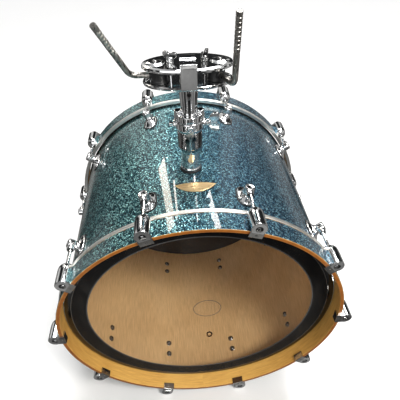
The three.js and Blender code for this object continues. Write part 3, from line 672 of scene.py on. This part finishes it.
def flesh_hoop_mesh():
    """A rolled metal hoop with a groove round its outside."""
    back, front = RIM_BACK, RIM_BACK + RIM_WIDTH
    inner, outer = RIM_INNER_R, RIM_OUTER_R
    groove = outer - 1.6
    profile = [(inner, back), (outer - 1, back), (outer, back + 1), (outer, back + 3.1), (groove, back + 3.6),
               (groove, back + 4.3), (outer, back + 4.8), (outer, front - 1), (outer - 1, front),
               (inner, front)]
    bm = bmesh.new()
    turned(bm, fillet(profile, 0.5, 2), ROUND, ALONG_Y)
    return mesh_of("flesh_hoop", bm, SATIN)


def wood_hoop_mesh():
    """A round wooden hoop: lacquer outside, bare wood inside, plies on both edges."""
    bm = bmesh.new()
    turned(bm, fillet(tube(HOOP_INNER_R, HOOP_OUTER_R, HOOP_BACK, HOOP_FACE), 1.5, 4), ROUND, ALONG_Y)
    bm.normal_update()
    bmesh.ops.recalc_face_normals(bm, faces=bm.faces)
    for face in bm.faces:
        centre = face.calc_center_median()
        outward = Vector((centre.x, 0, centre.z)).normalized().dot(face.normal)
        face.material_index = 0 if outward > 0.75 else 2 if outward < -0.75 else 1
    return mesh_of("wood_hoop", bm, SPARKLE, HOOP_EDGE, HOOP_WOOD)


def head_mesh(film):
    """Film stretched over the bearing edge and turned down to the flesh hoop."""
    bend = 7
    top = [(0, HEAD_Y), (SHELL_R - 9, HEAD_Y)]
    for step in range(7):
        angle = math.pi / 2 * step / 6
        top.append((COLLAR_R - bend + bend * math.sin(angle), HEAD_Y - 4 + 4 * math.cos(angle)))
    top.append((COLLAR_R, COLLAR_END))
    under = [(max(r - FILM * 0.6, 0), h - FILM if r < COLLAR_R - 1 else h) for r, h in reversed(top)]
    under[0] = (COLLAR_R - FILM, COLLAR_END)
    bm = bmesh.new()
    turned(bm, top + under, ROUND, ALONG_Y)
    return mesh_of("head", bm, film)


def claw_mesh():
    """A vaulted casting over the hoop, with a round recess in its front and a hook over the hoop's edge."""
    face = -box_mm("batter_rim_with_claws")[0].y
    seat = HOOP_OUTER_R + 0.3
    half = 14
    arch_steps, seat_steps = 16, 8
    rings = []
    sections = [(194.2, 0.30), (194.8, 0.50), (196.2, 0.70), (198.6, 0.86), (202, 0.95), (207, 0.99),
                (212, 1.0), (232, 1.0), (face - 1.2, 1.0), (face - 0.4, 0.975), (face, 0.93)]
    for y, scale in sections:
        ring = []
        for step in range(arch_steps + 1):
            angle = math.pi * step / arch_steps
            x = half * scale * math.cos(angle)
            z = seat + (ROD_AXIS_R - seat) * scale + half * scale * math.sin(angle)
            ring.append(Vector((x, y, z)))
        for step in range(1, seat_steps):
            x = -half * scale + 2 * half * scale * step / seat_steps
            ring.append(Vector((x, y, math.sqrt(seat ** 2 - x * x))))
        rings.append(ring)
    bm = bmesh.new()
    skin(bm, rings)
    body = mesh_of("claw", bm, CHROME, NYLON)
    cutter = bmesh.new()
    mouth = moved(0, face, ROD_AXIS_R) @ ALONG_Y
    # The cutter's faces take the black slot, so the recess's walls are painted black: painted shade inside the
    # recess.
    turned(cutter, [(0, -16), (5.4, -16), (5.4, -1.2), (6.8, 0.3), (6.8, 4), (0, 4)], 40, mouth, slot=1)
    return carved(body, mesh_of("mouth", cutter, CHROME, NYLON))


def claw_hook_mesh():
    """The bent plate that grips the hoop's edge, with a rivet."""
    face = -box_mm("batter_rim_with_claws")[0].y
    lip_low, lip_high = HOOP_INNER_R - 3.2, HOOP_INNER_R - 0.8
    inside = HOOP_FACE + 0.3
    plate_front = face - 0.3
    top, tip = HOOP_OUTER_R + 6, inside - 11.5
    profile = fillet([(inside, top), (plate_front, top), (plate_front, lip_low), (tip, lip_low),
                      (tip, lip_high), (inside, lip_high)], 1.0, 3)
    bm = bmesh.new()
    half = 12.6
    rings = []
    for x, grow in ((-half, 0.5), (-half + 0.5, 0), (half - 0.5, 0), (half, 0.5)):
        ring = []
        for y, z in profile:
            middle = Vector((plate_front - 1.6, (HOOP_OUTER_R + lip_low) / 2))
            point = Vector((y, z))
            point += (middle - point).normalized() * grow * 0.5
            ring.append(Vector((x, point.x, point.y)))
        rings.append(ring)
    skin(bm, rings)
    rivet = moved(0, plate_front, HOOP_OUTER_R - 5) @ ALONG_Y
    turned(bm, [(0, -0.6), (2.4, -0.6), (2.4, 0.1), (1.8, 0.3), (1.2, 0.1), (0, 0)], 20, rivet)
    return mesh_of("claw_hook", bm, HOOK_METAL)


KEY_SQUARE = fillet(tube(-2.8, 2.8, -2.8, 2.8), 0.5, 2)  # outline of a drum key's square head


def tension_rod_mesh():
    """A rod with a rolled thread at the lug end and a square key head on a flange."""
    low, high = box_mm("resonant_tension_rod_01")
    start, end = low.y, high.y
    seat = end - 5.3
    profile = [(0, start), (2.4, start), (2.9, start + 0.8)]
    y = start + 1.0
    while y < start + 44:
        profile += [(2.95, y), (2.55, y + 0.5)]
        y += 1.05
    profile += [(3.0, y + 1), (3.0, seat - 2.2), (4.8, seat - 2.2), (4.8, seat - 0.3), (4.5, seat), (0, seat)]
    bm = bmesh.new()
    turned(bm, profile, 24, moved(0, 0, ROD_AXIS_R) @ ALONG_Y)
    rings = []
    for y, scale in ((seat - 1, 1), (end - 0.8, 1), (end, 0.78)):
        rings.append([Vector((x * scale, y, ROD_AXIS_R + z * scale)) for x, z in KEY_SQUARE])
    skin(bm, rings)
    return mesh_of("tension_rod", bm, CHROME, sharp=50)


def tensioned_sides():
    hoop, rim, claw = wood_hoop_mesh(), flesh_hoop_mesh(), claw_mesh()
    hook, rod = claw_hook_mesh(), tension_rod_mesh()
    films = {"batter": (CLEAR, "clear_film"), "resonant": (TINTED_FILM, "tinted_film")}
    for side, turn in SIDE_TURNS.items():
        body = f"{side}_side"
        film, film_slot = films[side]
        piece(f"{side}_wood_hoop", hoop, body, turn, [f"{side}_hoop"])
        piece(f"{side}_flesh_hoop", rim, body, turn, [f"{side}_rim_with_claws"])
        piece(f"{side}_film", head_mesh(film), body, turn, [f"{side}_head"])
        for i in range(STATIONS):
            place = turn @ station_turn(i)
            piece(f"{side}_claw_{i + 1:02d}", claw, body, place)
            piece(f"{side}_claw_hook_{i + 1:02d}", hook, body, place)
            node = f"{side}_tension_rod_{i + 1:02d}"
            piece(f"{side}_rod_{i + 1:02d}", rod, node, place, [node])


def damping_ring():
    low, high = box_mm("damping_ring")
    bm = bmesh.new()
    turned(bm, fillet(tube(DAMPING_INNER_R, (high.x - low.x) / 2, low.y, high.y), 0.3, 2), ROUND, ALONG_Y)
    part("damping_ring_film", bm, [BLACK_FILM], "batter_side", replaces=["damping_ring"])


def beater_patch():
    """A clear disc with a thin dark edge; the edge's black is painted shade for the shaded side of the patch's
    raised rim.
    """
    low, high = box_mm("beater_patch")
    centre = middle_mm("beater_patch") - AXIS
    place = moved(centre.x, high.y, centre.z) @ TO_FRONT
    radius, thickness = (high.x - low.x) / 2, high.y - low.y
    edge = radius - 0.9
    disc = bmesh.new()
    turned(disc, tube(0, edge, 0, thickness * 0.8), 96, place)
    part("beater_patch_film", disc, [PATCH_CLEAR], "batter_side", replaces=["beater_patch"])
    # The black ring is painted shade, standing for the shaded side of the patch's raised rim.
    rim = bmesh.new()
    turned(rim, fillet(tube(edge, radius, 0, thickness), 0.2, 2), 96, place)
    part("beater_patch_edge", rim, [BLACK_FILM], "batter_side")


# ---- tom holder

ON_MOUNT = Matrix.Translation(MOUNT)
POST_R = 14.5
BOLT_Z = 97
CUP_BOTTOM, CUP_TOP = 53, 88
RECEIVER_TOP = 106
LOCK_BOTTOM, LOCK_TOP, LOCK_EAR_TOP = 106.4, 118, 124
LOWER_PLATE_Z, UPPER_PLATE_Z = 172, 207
PLATE_T, PLATE_LIP = 3.6, 3.4
PLATE_HALF_X, PLATE_HALF_Y = 73, 36
SADDLE_HALF, SADDLE_TOP = 13, 217
CLAMP_X, CLAMP_R = 46, 15
CLAMP_BOLT_X = 27
PAD_X, PAD_Y = 51, -2
ARM_Z, ARM_R, ARM_INSERT, ARM_BEND = 187.5, 4.75, 10, 14
ELBOWS = {"left": Vector((-92, 0, ARM_Z)), "right": Vector((68, -51, ARM_Z))}
TIPS = {"left": Vector((-126, -56, 284)), "right": Vector((65, -81, 302))}


def swept(bm, path, radii, steps):
    """A round bar along a path, with a radius at each point."""
    side = Vector((0, 0, 1)).cross(path[1] - path[0])
    if side.length < 1e-6:
        side = Vector((1, 0, 0))
    rings = []
    for i, (point, radius) in enumerate(zip(path, radii)):
        along = (path[min(i + 1, len(path) - 1)] - path[max(i - 1, 0)]).normalized()
        side = (side - along * side.dot(along)).normalized()
        other = along.cross(side)
        rings.append([point + (side * math.cos(a) + other * math.sin(a)) * radius
                      for a in (2 * math.pi * k / steps for k in range(steps))])
    skin(bm, rings)


def wing_head(bm, collar_from, collar_to, collar_r, length, span, thick=4.2):
    """Two rounded wings on a collar, for a bolt along +X."""
    cap = collar_to + 1.2
    lathe(bm, [(0, collar_from), (collar_r, collar_from), (collar_r, collar_to), (collar_r * 0.6, cap),
               (0, cap)], 0.8, 2, 32, ALONG_X)
    start = collar_to - 3
    wing = fillet([(start, 0), (start, 3.6), (start + length * 0.2, span * 0.40),
                   (start + length * 0.5, span / 2), (start + length * 0.95, span / 2),
                   (start + length, span * 0.22), (start + length * 0.8, span * 0.10),
                   (start + length * 0.75, 0)], 3.5, 4)
    wings = bmesh.new()
    for flip in (1, -1):
        prism(wings, [(x, y * flip) for x, y in wing], -thick / 2, thick / 2, TO_FRONT)
    soften(wings, 0.9, 50)
    scratch = bpy.data.meshes.new("wings")
    wings.to_mesh(scratch)
    wings.free()
    bm.from_mesh(scratch)
    bpy.data.meshes.remove(scratch)


def mount_parts():
    """The receiver on top of the shell, with its gasket, bosses, wing bolt and key screw."""
    gasket = bmesh.new()
    turned(gasket, fillet([(16, -0.8), (20.4, -0.8), (20.4, 3.2), (19.4, 4), (16, 4)], 0.7, 2), 64)
    part("receiver_gasket", gasket, [RUBBER], "shell", ON_MOUNT, ["mount_gasket"])

    bore = POST_R + 0.4
    outer = [(bore, 4.2), (19.0, 4.2), (19.0, 7), (17.5, 8.5), (17.5, 40), (19.5, 47), (22.5, CUP_BOTTOM),
             (22.5, CUP_TOP), (24.5, CUP_TOP + 3), (24.5, RECEIVER_TOP - 2), (23.5, RECEIVER_TOP),
             (bore, RECEIVER_TOP)]
    body = bmesh.new()
    turned(body, fillet(outer, 1.6, 3), 96)
    # The flare and cup under the receiver's wide top take the darker chrome: a painted dark reflection of the
    # collar's shaded underside, on one chrome casting.
    for face in body.faces:
        z = face.calc_center_median().z
        face.material_index = 1 if CUP_BOTTOM - 8 < z < CUP_TOP - 2 else 0
    receiver = mesh_of("receiver_tube", body, CHROME, DARK_CHROME)
    slit = bmesh.new()
    block(slit, (-0.9, -26, 20), (0.9, -bore + 1, CUP_TOP - 3))
    receiver = carved(receiver, mesh_of("slit", slit, NYLON))
    piece("receiver_body", receiver, "shell", ON_MOUNT, ["mount_receiver"])

    bosses = bmesh.new()
    at_bolt = moved(0, 0, BOLT_Z)
    for boss in ([(0, 19), (7.4, 19), (7.4, 26), (6.4, 29), (0, 29)],
                 [(0, -29), (6.6, -29), (7.4, -26), (7.4, -19), (0, -19)]):
        lathe(bosses, boss, 1, 2, 40, at_bolt @ ALONG_X)
    front_boss = [(0, 22), (6.4, 22), (6.4, 25.4), (5, 26.8), (2.2, 26.8), (2.2, 25.0), (0, 25.0)]
    lathe(bosses, front_boss, 0.7, 2, 40, at_bolt @ TO_FRONT)
    part("receiver_bosses", bosses, [CHROME], "shell", ON_MOUNT)

    bolt = bmesh.new()
    bar(bolt, (24, 0, 0), (31, 0, 0), 3)
    wing_head(bolt, 29.8, 36, 6.2, 20, 36)
    part("receiver_wing", bolt, [CHROME], "receiver_bolt", ON_MOUNT @ at_bolt,
         ["receiver_wing_bolt"])

    key = bmesh.new()
    shank = [(0, -22), (2.1, -22), (2.1, -26), (3.6, -26), (3.6, -29), (0, -29)]
    lathe(key, shank, 0.4, 2, 28, ALONG_X)
    skin(key, [[Vector((x, y * scale, z * scale)) for y, z in KEY_SQUARE]
               for x, scale in ((-28.5, 1), (-35.2, 1), (-36, 0.8))])
    part("receiver_key", key, [CHROME], "receiver_screw", ON_MOUNT @ at_bolt,
         ["receiver_key_screw"])


def memory_lock():
    """A collar with two ears, each with a screw in its top."""
    bm = bmesh.new()
    turned(bm, fillet(tube(POST_R + 0.3, 23, LOCK_BOTTOM, LOCK_TOP), 1.4, 3), 80)
    for side in (-1, 1):
        place = moved(side * 20, -1, 0)
        lathe(bm, tube(0, 6.5, LOCK_BOTTOM, LOCK_EAR_TOP), 1.8, 3, 36, place)
        turned(bm, tube(0, 2.6, LOCK_EAR_TOP - 1, LOCK_EAR_TOP), 6, place, 1)
    part("memory_lock_collar", bm, [CHROME, DARK_CHROME], "memory_lock", ON_MOUNT,
         ["memory_lock"])


def holder_post():
    """A tube with a hole and a slot in its front, round a dark core."""
    low, high = box_mm("holder_post")
    bottom, top = low.z - AXIS.z - SHELL_R, high.z - AXIS.z - SHELL_R
    inner = POST_R - 3
    bm = bmesh.new()
    profile = [(inner, bottom), (POST_R, bottom), (POST_R, LOCK_EAR_TOP + 4), (16.4, top - 12), (17, top),
               (inner, top)]
    turned(bm, fillet(profile, 0.8, 2), 96)
    post = mesh_of("post", bm, CHROME, NYLON)
    holes = bmesh.new()
    # The cutter's faces take the black slot, so the walls of the hole and the slot are painted black: painted
    # shade inside them.
    turned(holes, tube(0, 3.8, 8, 30), 32, moved(0, 0, 157) @ TO_FRONT, 1)
    block(holes, (-2.1, -30, 118), (2.1, -8, 147), 1)
    post = carved(post, mesh_of("post_holes", holes, CHROME, NYLON))
    piece("holder_post_tube", post, "holder", ON_MOUNT, ["holder_post"])
    core = bmesh.new()
    bar(core, (0, 0, 100), (0, 0, top - 1), inner - 0.4, 48)
    part("holder_post_core", core, [NYLON], "holder", ON_MOUNT)


def plate_mesh(name, base, up):
    """An oval dish with a rolled lip."""
    lip = PLATE_T + PLATE_LIP
    profile = [(0, 0), (0.90, 0), (0.985, 1.2), (1.0, PLATE_T), (1.0, lip - 0.8), (0.985, lip),
               (0.955, lip - 0.3), (0.945, PLATE_T + 1.2), (0.92, PLATE_T), (0, PLATE_T)]
    bm = bmesh.new()
    shape = moved(0, 0, base) @ Matrix.Diagonal((PLATE_HALF_X, PLATE_HALF_Y, up, 1))
    lathe(bm, profile, 0.012, 2, 128, shape)
    return mesh_of(name, bm, CHROME)


def plates():
    for name, base, up in (("lower", LOWER_PLATE_Z, 1), ("upper", UPPER_PLATE_Z, -1)):
        oval_name = f"{name}_oval_plate"
        piece(oval_name, plate_mesh(oval_name, base, up), "holder", ON_MOUNT, [f"{name}_plate"])
    for side, name in ((-1, "left"), (1, "right")):
        pad = bmesh.new()
        place = moved(side * PAD_X, PAD_Y, UPPER_PLATE_Z) @ Matrix.Diagonal((1.25, 1.0, 1, 1))
        lathe(pad, [(0, -1), (13, -1), (12.4, 0.8), (8, 2.6), (0, 3.2)], 1.5, 3, 56, place)
        lathe(pad, [(0, 0), (4.4, 0), (4.2, 1.6), (2.6, 2.6), (1.8, 1.4), (0, 1.4)], 0.5, 2, 28,
              moved(side * PAD_X, PAD_Y, UPPER_PLATE_Z + 2.4), 1)
        part(f"{name}_plate_pad", pad, [CHROME, DARK_CHROME], "holder", ON_MOUNT)


def middle_block():
    """The block between the plates, and the saddle that bridges them with a rib along each side."""
    low, high, top = LOWER_PLATE_Z, UPPER_PLATE_Z, SADDLE_TOP
    bm = bmesh.new()
    block(bm, (-12.8, -28, low + PLATE_T), (12.8, 28, high - PLATE_T))
    soften(bm, 1.5)
    part("holder_block", bm, [NYLON], "holder", ON_MOUNT, ["centre_block"])
    bridge = bmesh.new()
    front = -PLATE_HALF_Y - 0.4
    profile = [(front - 3, low + 3), (front - 3, high + 4), (front - 0.5, high + 9.5), (front + 6, top - 2.5),
               (-20, top - 2.2), (-19, top - 4.2), (-8, top - 4.2), (-7, top - 2), (6, top - 2), (12, top - 5),
               (12, high + 0.3), (front, high + 0.3), (front, low + 3)]
    profile = fillet(profile, 1.6, 3)
    skin(bridge, [[Vector((x, y, z)) for y, z in profile] for x in (-SADDLE_HALF, SADDLE_HALF)])
    soften(bridge, 0.8, 60)
    part("holder_saddle", bridge, [CHROME], "holder", ON_MOUNT, ["top_saddle"])
    ribs = bmesh.new()
    outline = [(front - 3.5, low + 5), (front - 3.5, high + 4), (front - 0.4, high + 9.9),
               (front + 2, high + 7), (front + 1, low + 5)]
    for x in (3.4 - SADDLE_HALF, SADDLE_HALF - 3.4):
        skin(ribs, [[Vector((x + dx, y, z)) for y, z in fillet(outline, 0.8, 2)] for dx in (-1.0, 1.0)])
    part("holder_saddle_ribs", ribs, [CHROME], "holder", ON_MOUNT)


def arm_direction(name):
    """The middle of an arm's clamp, and the way from there to the arm's elbow."""
    side = -1 if name == "left" else 1
    clamp = Vector((side * CLAMP_X, 0, ARM_Z))
    return clamp, (ELBOWS[name] - clamp).normalized()


def arm_clamp(name):
    clamp, out = arm_direction(name)
    bottom, top = LOWER_PLATE_Z + PLATE_T + 0.4, UPPER_PLATE_Z - PLATE_T - 0.4
    waist = CLAMP_R - 1
    bm = bmesh.new()
    lathe(bm, [(0, bottom), (CLAMP_R, bottom), (CLAMP_R, bottom + 4), (waist, bottom + 5), (waist, top - 5),
               (CLAMP_R, top - 4), (CLAMP_R, top), (0, top)], 0.8, 2, 64, moved(clamp.x, 0, 0))
    bar(bm, clamp + out * (CLAMP_R - 4), clamp + out * (CLAMP_R + 0.4), 7.2, 32, 1.0)
    part(f"{name}_clamp_drum", bm, [NYLON], f"{name}_clamp", ON_MOUNT, [f"{name}_arm_clamp"])


def tom_arm(name):
    """An L-shaped bar; its upper half has a groove and a row of small notches."""
    clamp, out = arm_direction(name)
    elbow, tip = ELBOWS[name], TIPS[name]
    up = (tip - elbow).normalized()
    start, end = elbow - out * ARM_BEND, elbow + up * ARM_BEND
    path, radii = [clamp - out * ARM_INSERT], [ARM_R]
    bend_steps = 8
    for step in range(bend_steps + 1):
        t = step / bend_steps
        path.append(start * (1 - t) ** 2 + elbow * 2 * t * (1 - t) + end * t ** 2)
        radii.append(ARM_R)
    length = (tip - end).length
    groove = length * 0.42
    groove_r, notch_r, notch_pitch = ARM_R - 0.9, ARM_R - 0.55, 6.5
    marks = [(groove - 1.2, ARM_R), (groove - 0.8, groove_r), (groove + 0.8, groove_r), (groove + 1.2, ARM_R)]
    place = groove + 7
    while place < length - 8:
        marks += [(place, ARM_R), (place + 0.5, notch_r), (place + 1.8, notch_r), (place + 2.3, ARM_R)]
        place += notch_pitch
    marks += [(length - 1.0, ARM_R), (length - 0.3, ARM_R - 0.3), (length, ARM_R - 0.9)]
    for along, radius in marks:
        path.append(end + up * along)
        radii.append(radius)
    bm = bmesh.new()
    swept(bm, path, radii, 28)
    mesh = mesh_of(f"{name}_tom_bar", bm, STEEL, sharp=30)
    piece(f"{name}_tom_bar", mesh, f"{name}_arm", ON_MOUNT, [f"{name}_tom_arm"])


def clamp_bolt(name):
    # The right wing bolt takes the darker chrome and its twin on the left plain chrome: the right one's
    # darkness is a painted dark reflection.
    side, lean, metal = (-1, -28, CHROME) if name == "left" else (1, 62, DARK_CHROME)
    bm = bmesh.new()
    bar(bm, (-37.5, 0, 0), (1, 0, 0), 2.6)
    lathe(bm, tube(0, 5.0, -37.8, -35.6), 0.5, 2, 6, ALONG_X)
    wing_head(bm, 0.3, 7.5, 5.6, 11.5, 24, 3.6)
    upright = Matrix.Rotation(-math.pi / 2, 4, "Y")
    turn = Matrix.Rotation(math.radians(lean), 4, "Z")
    place = ON_MOUNT @ moved(side * CLAMP_BOLT_X, 0, UPPER_PLATE_Z) @ turn @ upright
    part(f"{name}_clamp_wing", bm, [metal], f"{name}_clamp_bolt", place, [f"{name}_clamp_bolt"])


def tom_holder():
    mount_parts()
    memory_lock()
    holder_post()
    plates()
    middle_block()
    for name in ("left", "right"):
        arm_clamp(name)
        tom_arm(name)
        clamp_bolt(name)


# ---- spurs

def joint_place(name):
    """A joint's point and axis in the drum's frame, in millimetres."""
    joint = next(j for j in frame["joints"] if j["name"] == name)
    return Vector(joint["pos_m"]) / MM - AXIS, Vector(joint["axis"]).normalized()


SPUR_HUB_T = 18


def spur(name):
    """A gasket, a bracket with four screws, a leg on a hub, a sliding stem, a ribbed foot and a wing bolt."""
    side = -1 if name == "left" else 1
    pivot, _ = joint_place(f"{name}_spur_fold")
    _, normal = joint_place(f"{name}_spur_bolt_turn")
    station = Matrix.Rotation(math.atan2(pivot.x, pivot.z), 4, "Y")
    aim = facing(pivot, normal)

    gasket = bmesh.new()
    oval_stack(gasket, [(20, 30, height, 0) for height in (0.2, 0.6, 2.2)], pivot.y, 5)
    part(f"{name}_spur_pad", gasket, [RUBBER], "shell", station, [f"{name}_spur_gasket"])

    bracket = bmesh.new()
    oval_stack(bracket, [(18, 28, 2.4, 0), (18, 28, 5.5, 0), (17, 27, 7.6, 0), (15, 24.5, 9, 0)], pivot.y, 4)
    lug_x, lug_half_x, lug_half_y = side * 5.5, 8.5, 14
    block(bracket, (lug_x - lug_half_x, pivot.y - lug_half_y, SHELL_R + 4),
          (lug_x + lug_half_x, pivot.y + lug_half_y, SHELL_R + 15))
    for x in (-11, 11):
        for y in (-20, 20):
            lathe(bracket, [(0, -2), (4.2, -2), (4.2, 0.6), (2.6, 2), (0, 2.2)], 0.6, 2, 24,
                  moved(x, pivot.y + y, on_shell(x, 7.4)), 1)
    bracket.transform(station)
    lathe(bracket, tube(0, 15, -17, -0.2), 1.2, 3, 64, aim)
    part(f"{name}_spur_base", bracket, [CHROME, DARK_CHROME], "shell",
         replaces=[f"{name}_spur_bracket"])

    leg = bmesh.new()
    lathe(leg, tube(0, 15, 0.4, 0.4 + SPUR_HUB_T), 1.4, 3, 64, aim)
    back = facing(pivot + normal * (0.4 + SPUR_HUB_T / 2), Vector((0, -1, 0)))
    lathe(leg, [(0, 8), (8, 8), (8, 136), (9.4, 138), (9.4, 149), (8.6, 150), (5.8, 150), (5.8, 146),
                (0, 146)], 0.9, 2, 48, back)
    part(f"{name}_spur_tube", leg, [CHROME], f"{name}_spur", replaces=[f"{name}_spur_leg"])

    stem = bmesh.new()
    lathe(stem, tube(0, 5.4, 70, 212), 0.6, 2, 40, back)
    part(f"{name}_spur_stem", stem, [STEEL], f"{name}_spur_extension",
         replaces=[f"{name}_spur_rod"])
    tip = bmesh.new()
    profile = [(0, 205), (9, 205), (10, 207)]
    for ring in range(4):
        at = 210 + ring * 5
        profile += [(11, at), (11, at + 3), (10, at + 3.6), (10, at + 4.6)]
    profile += [(11, 230), (8.5, 232), (7.5, 235), (0, 235)]
    lathe(tip, profile, 0.6, 2, 56, back)
    part(f"{name}_spur_tip", tip, [RUBBER], f"{name}_spur_extension",
         replaces=[f"{name}_spur_foot"])

    bolt = bmesh.new()
    bar(bolt, (-9.6, 0, 0), (SPUR_HUB_T + 2, 0, 0), 3)
    wing_head(bolt, SPUR_HUB_T + 0.9, SPUR_HUB_T + 5, 6.0, 12.5, 31, 4)
    lean = Vector((1, 0, 0)).rotation_difference(normal).to_matrix().to_4x4()
    part(f"{name}_spur_wing", bolt, [CHROME], f"{name}_spur_bolt",
         Matrix.Translation(pivot) @ lean @ TO_FRONT, [f"{name}_spur_wing_bolt"])


tom_holder()
for spur_name in ("left", "right"):
    spur(spur_name)
shell()
lugs()
air_vent()
badge()
tensioned_sides()
damping_ring()
beater_patch()

# ---- floor, light and camera

def floor_material():
    s = Shader("pale_floor", roughness=0.7)
    s.set("Base Color", s.mix(s.noise(3, 3.0), (0.93, 0.93, 0.93), (0.95, 0.95, 0.95)))
    s.bump(s.noise(200), 0.0003, 0.1)
    return s.material


def floor():
    half = 8.0
    mesh = bpy.data.meshes.new("floor")
    corners = [(-half, -half, 0), (half, -half, 0), (half, half, 0), (-half, half, 0)]
    mesh.from_pydata(corners, [], [(0, 1, 2, 3)])
    mesh.materials.append(floor_material())
    obj = placed("floor", mesh)
    obj.visible_glossy = False  # the plated parts reflect the studio instead
    obj.visible_diffuse = False


def area_light(name, location, target, size, power, color=(1, 1, 1)):
    light = bpy.data.lights.new(name, "AREA")
    light.shape = "RECTANGLE"
    light.size, light.size_y = size
    light.energy = power
    light.color = color
    obj = placed(name, light)
    obj.location = location
    obj.rotation_euler = (Vector(target) - Vector(location)).to_track_quat("-Z", "Y").to_euler()
    return obj


def strip_light(name, low, high, width, power, color):
    """A strip from low to high behind the drum, whose reflection runs along the lacquer."""
    low, high = Vector(low), Vector(high)
    middle = (low + high) / 2
    toward = (middle - (AXIS + SHELL_TOP) * MM).normalized()
    across = (high - low).cross(toward).normalized()
    obj = area_light(name, middle, middle - toward, (width, (high - low).length), power, color)
    obj.rotation_euler = Matrix((across, toward.cross(across), toward)).transposed().to_euler()


def sun_light(name, direction, strength, angle):
    light = bpy.data.lights.new(name, "SUN")
    light.energy = strength
    light.angle = math.radians(angle)
    obj = placed(name, light)
    obj.rotation_euler = Vector(direction).to_track_quat("-Z", "Y").to_euler()


def world_light():
    """A plain pale backdrop. Plated parts reflect a dim studio with pale panels, a grey floor and ceiling."""
    world = bpy.data.worlds.new("studio")
    bpy.context.scene.world = world
    world.use_nodes = True
    w = Nodes(world.node_tree)
    direction = w.node("TexCoord", "Generated")
    height = w.node("SeparateXYZ", 2, Vector=direction)
    upright = w.node("Mapping", Vector=direction, Scale=(1, 1, 0.35))

    def patches(scale, low, high):
        return w.spread(w.node("TexNoise", Vector=upright, Scale=scale, Detail=1.0), low, high, 0, 1)

    color = w.mix(patches(3.2, 0.50, 0.62), (0.02, 0.021, 0.022), (0.8, 0.79, 0.77))
    color = w.mix(w.spread(height, 0.72, 0.86, 0, 1), color, (0.6, 0.6, 0.6))
    ground = w.mix(patches(5.5, 0.42, 0.60), (0.02, 0.02, 0.02), (0.38, 0.375, 0.365))
    color = w.mix(w.spread(height, 0.02, -0.12, 0, 1), color, ground)
    backdrop = w.mix(w.node("LightPath", "Is Camera Ray"), color, (1.15, 1.15, 1.15))
    background = w.tree.nodes["Background"]
    w.feed(background.inputs["Color"], backdrop)
    background.inputs["Strength"].default_value = 0.8


def camera():
    """A camera that looks down on the batter side, tilted a little."""
    elevation, azimuth, roll = (math.radians(a) for a in (42.43, -3.76, -1.09))
    forward = Vector((-math.sin(azimuth) * math.cos(elevation), math.cos(azimuth) * math.cos(elevation),
                      -math.sin(elevation)))
    right = forward.cross(Vector((0, 0, 1))).normalized()
    up = right.cross(forward)
    across = right * math.cos(roll) + up * math.sin(roll)
    upward = up * math.cos(roll) - right * math.sin(roll)
    data = bpy.data.cameras.new("camera")
    data.lens = 35.73
    data.sensor_width = 36
    data.shift_x = 0.0019
    data.shift_y = 0.0174
    obj = placed("camera", data)
    turn = Matrix((across, upward, -forward)).transposed().to_4x4()
    obj.matrix_world = moved(-0.03098, -0.67224, 1.03453) @ turn
    bpy.context.scene.camera = obj


floor()
world_light()
camera()
sun_light("daylight", (-0.30, -0.6, -1.4), 2.4, 28)
area_light("front", (0.75, -1.05, 1.75), (-0.05, -0.1, 0.1), (0.5, 0.5), 27, (1.0, 0.97, 0.92))
area_light("fill", (-0.7, -1.7, 1.1), (0, 0, 0.15), (1.2, 1.2), 8)
strip_light("left_strip", (-0.79, 1.98, 1.855), (-0.66, 1.52, 2.25), 0.2, 5, (1.0, 0.93, 0.80))
strip_light("middle_strip", (-0.50, 1.853, 2.07), (-0.50, 1.60, 2.25), 0.05, 0.8, (1.0, 0.95, 0.86))
strip_light("right_strip", (0.43, 1.73, 2.17), (0.60, 1.475, 2.31), 0.17, 3, (1.0, 0.98, 0.95))
bpy.context.scene.view_settings.view_transform = "Standard"
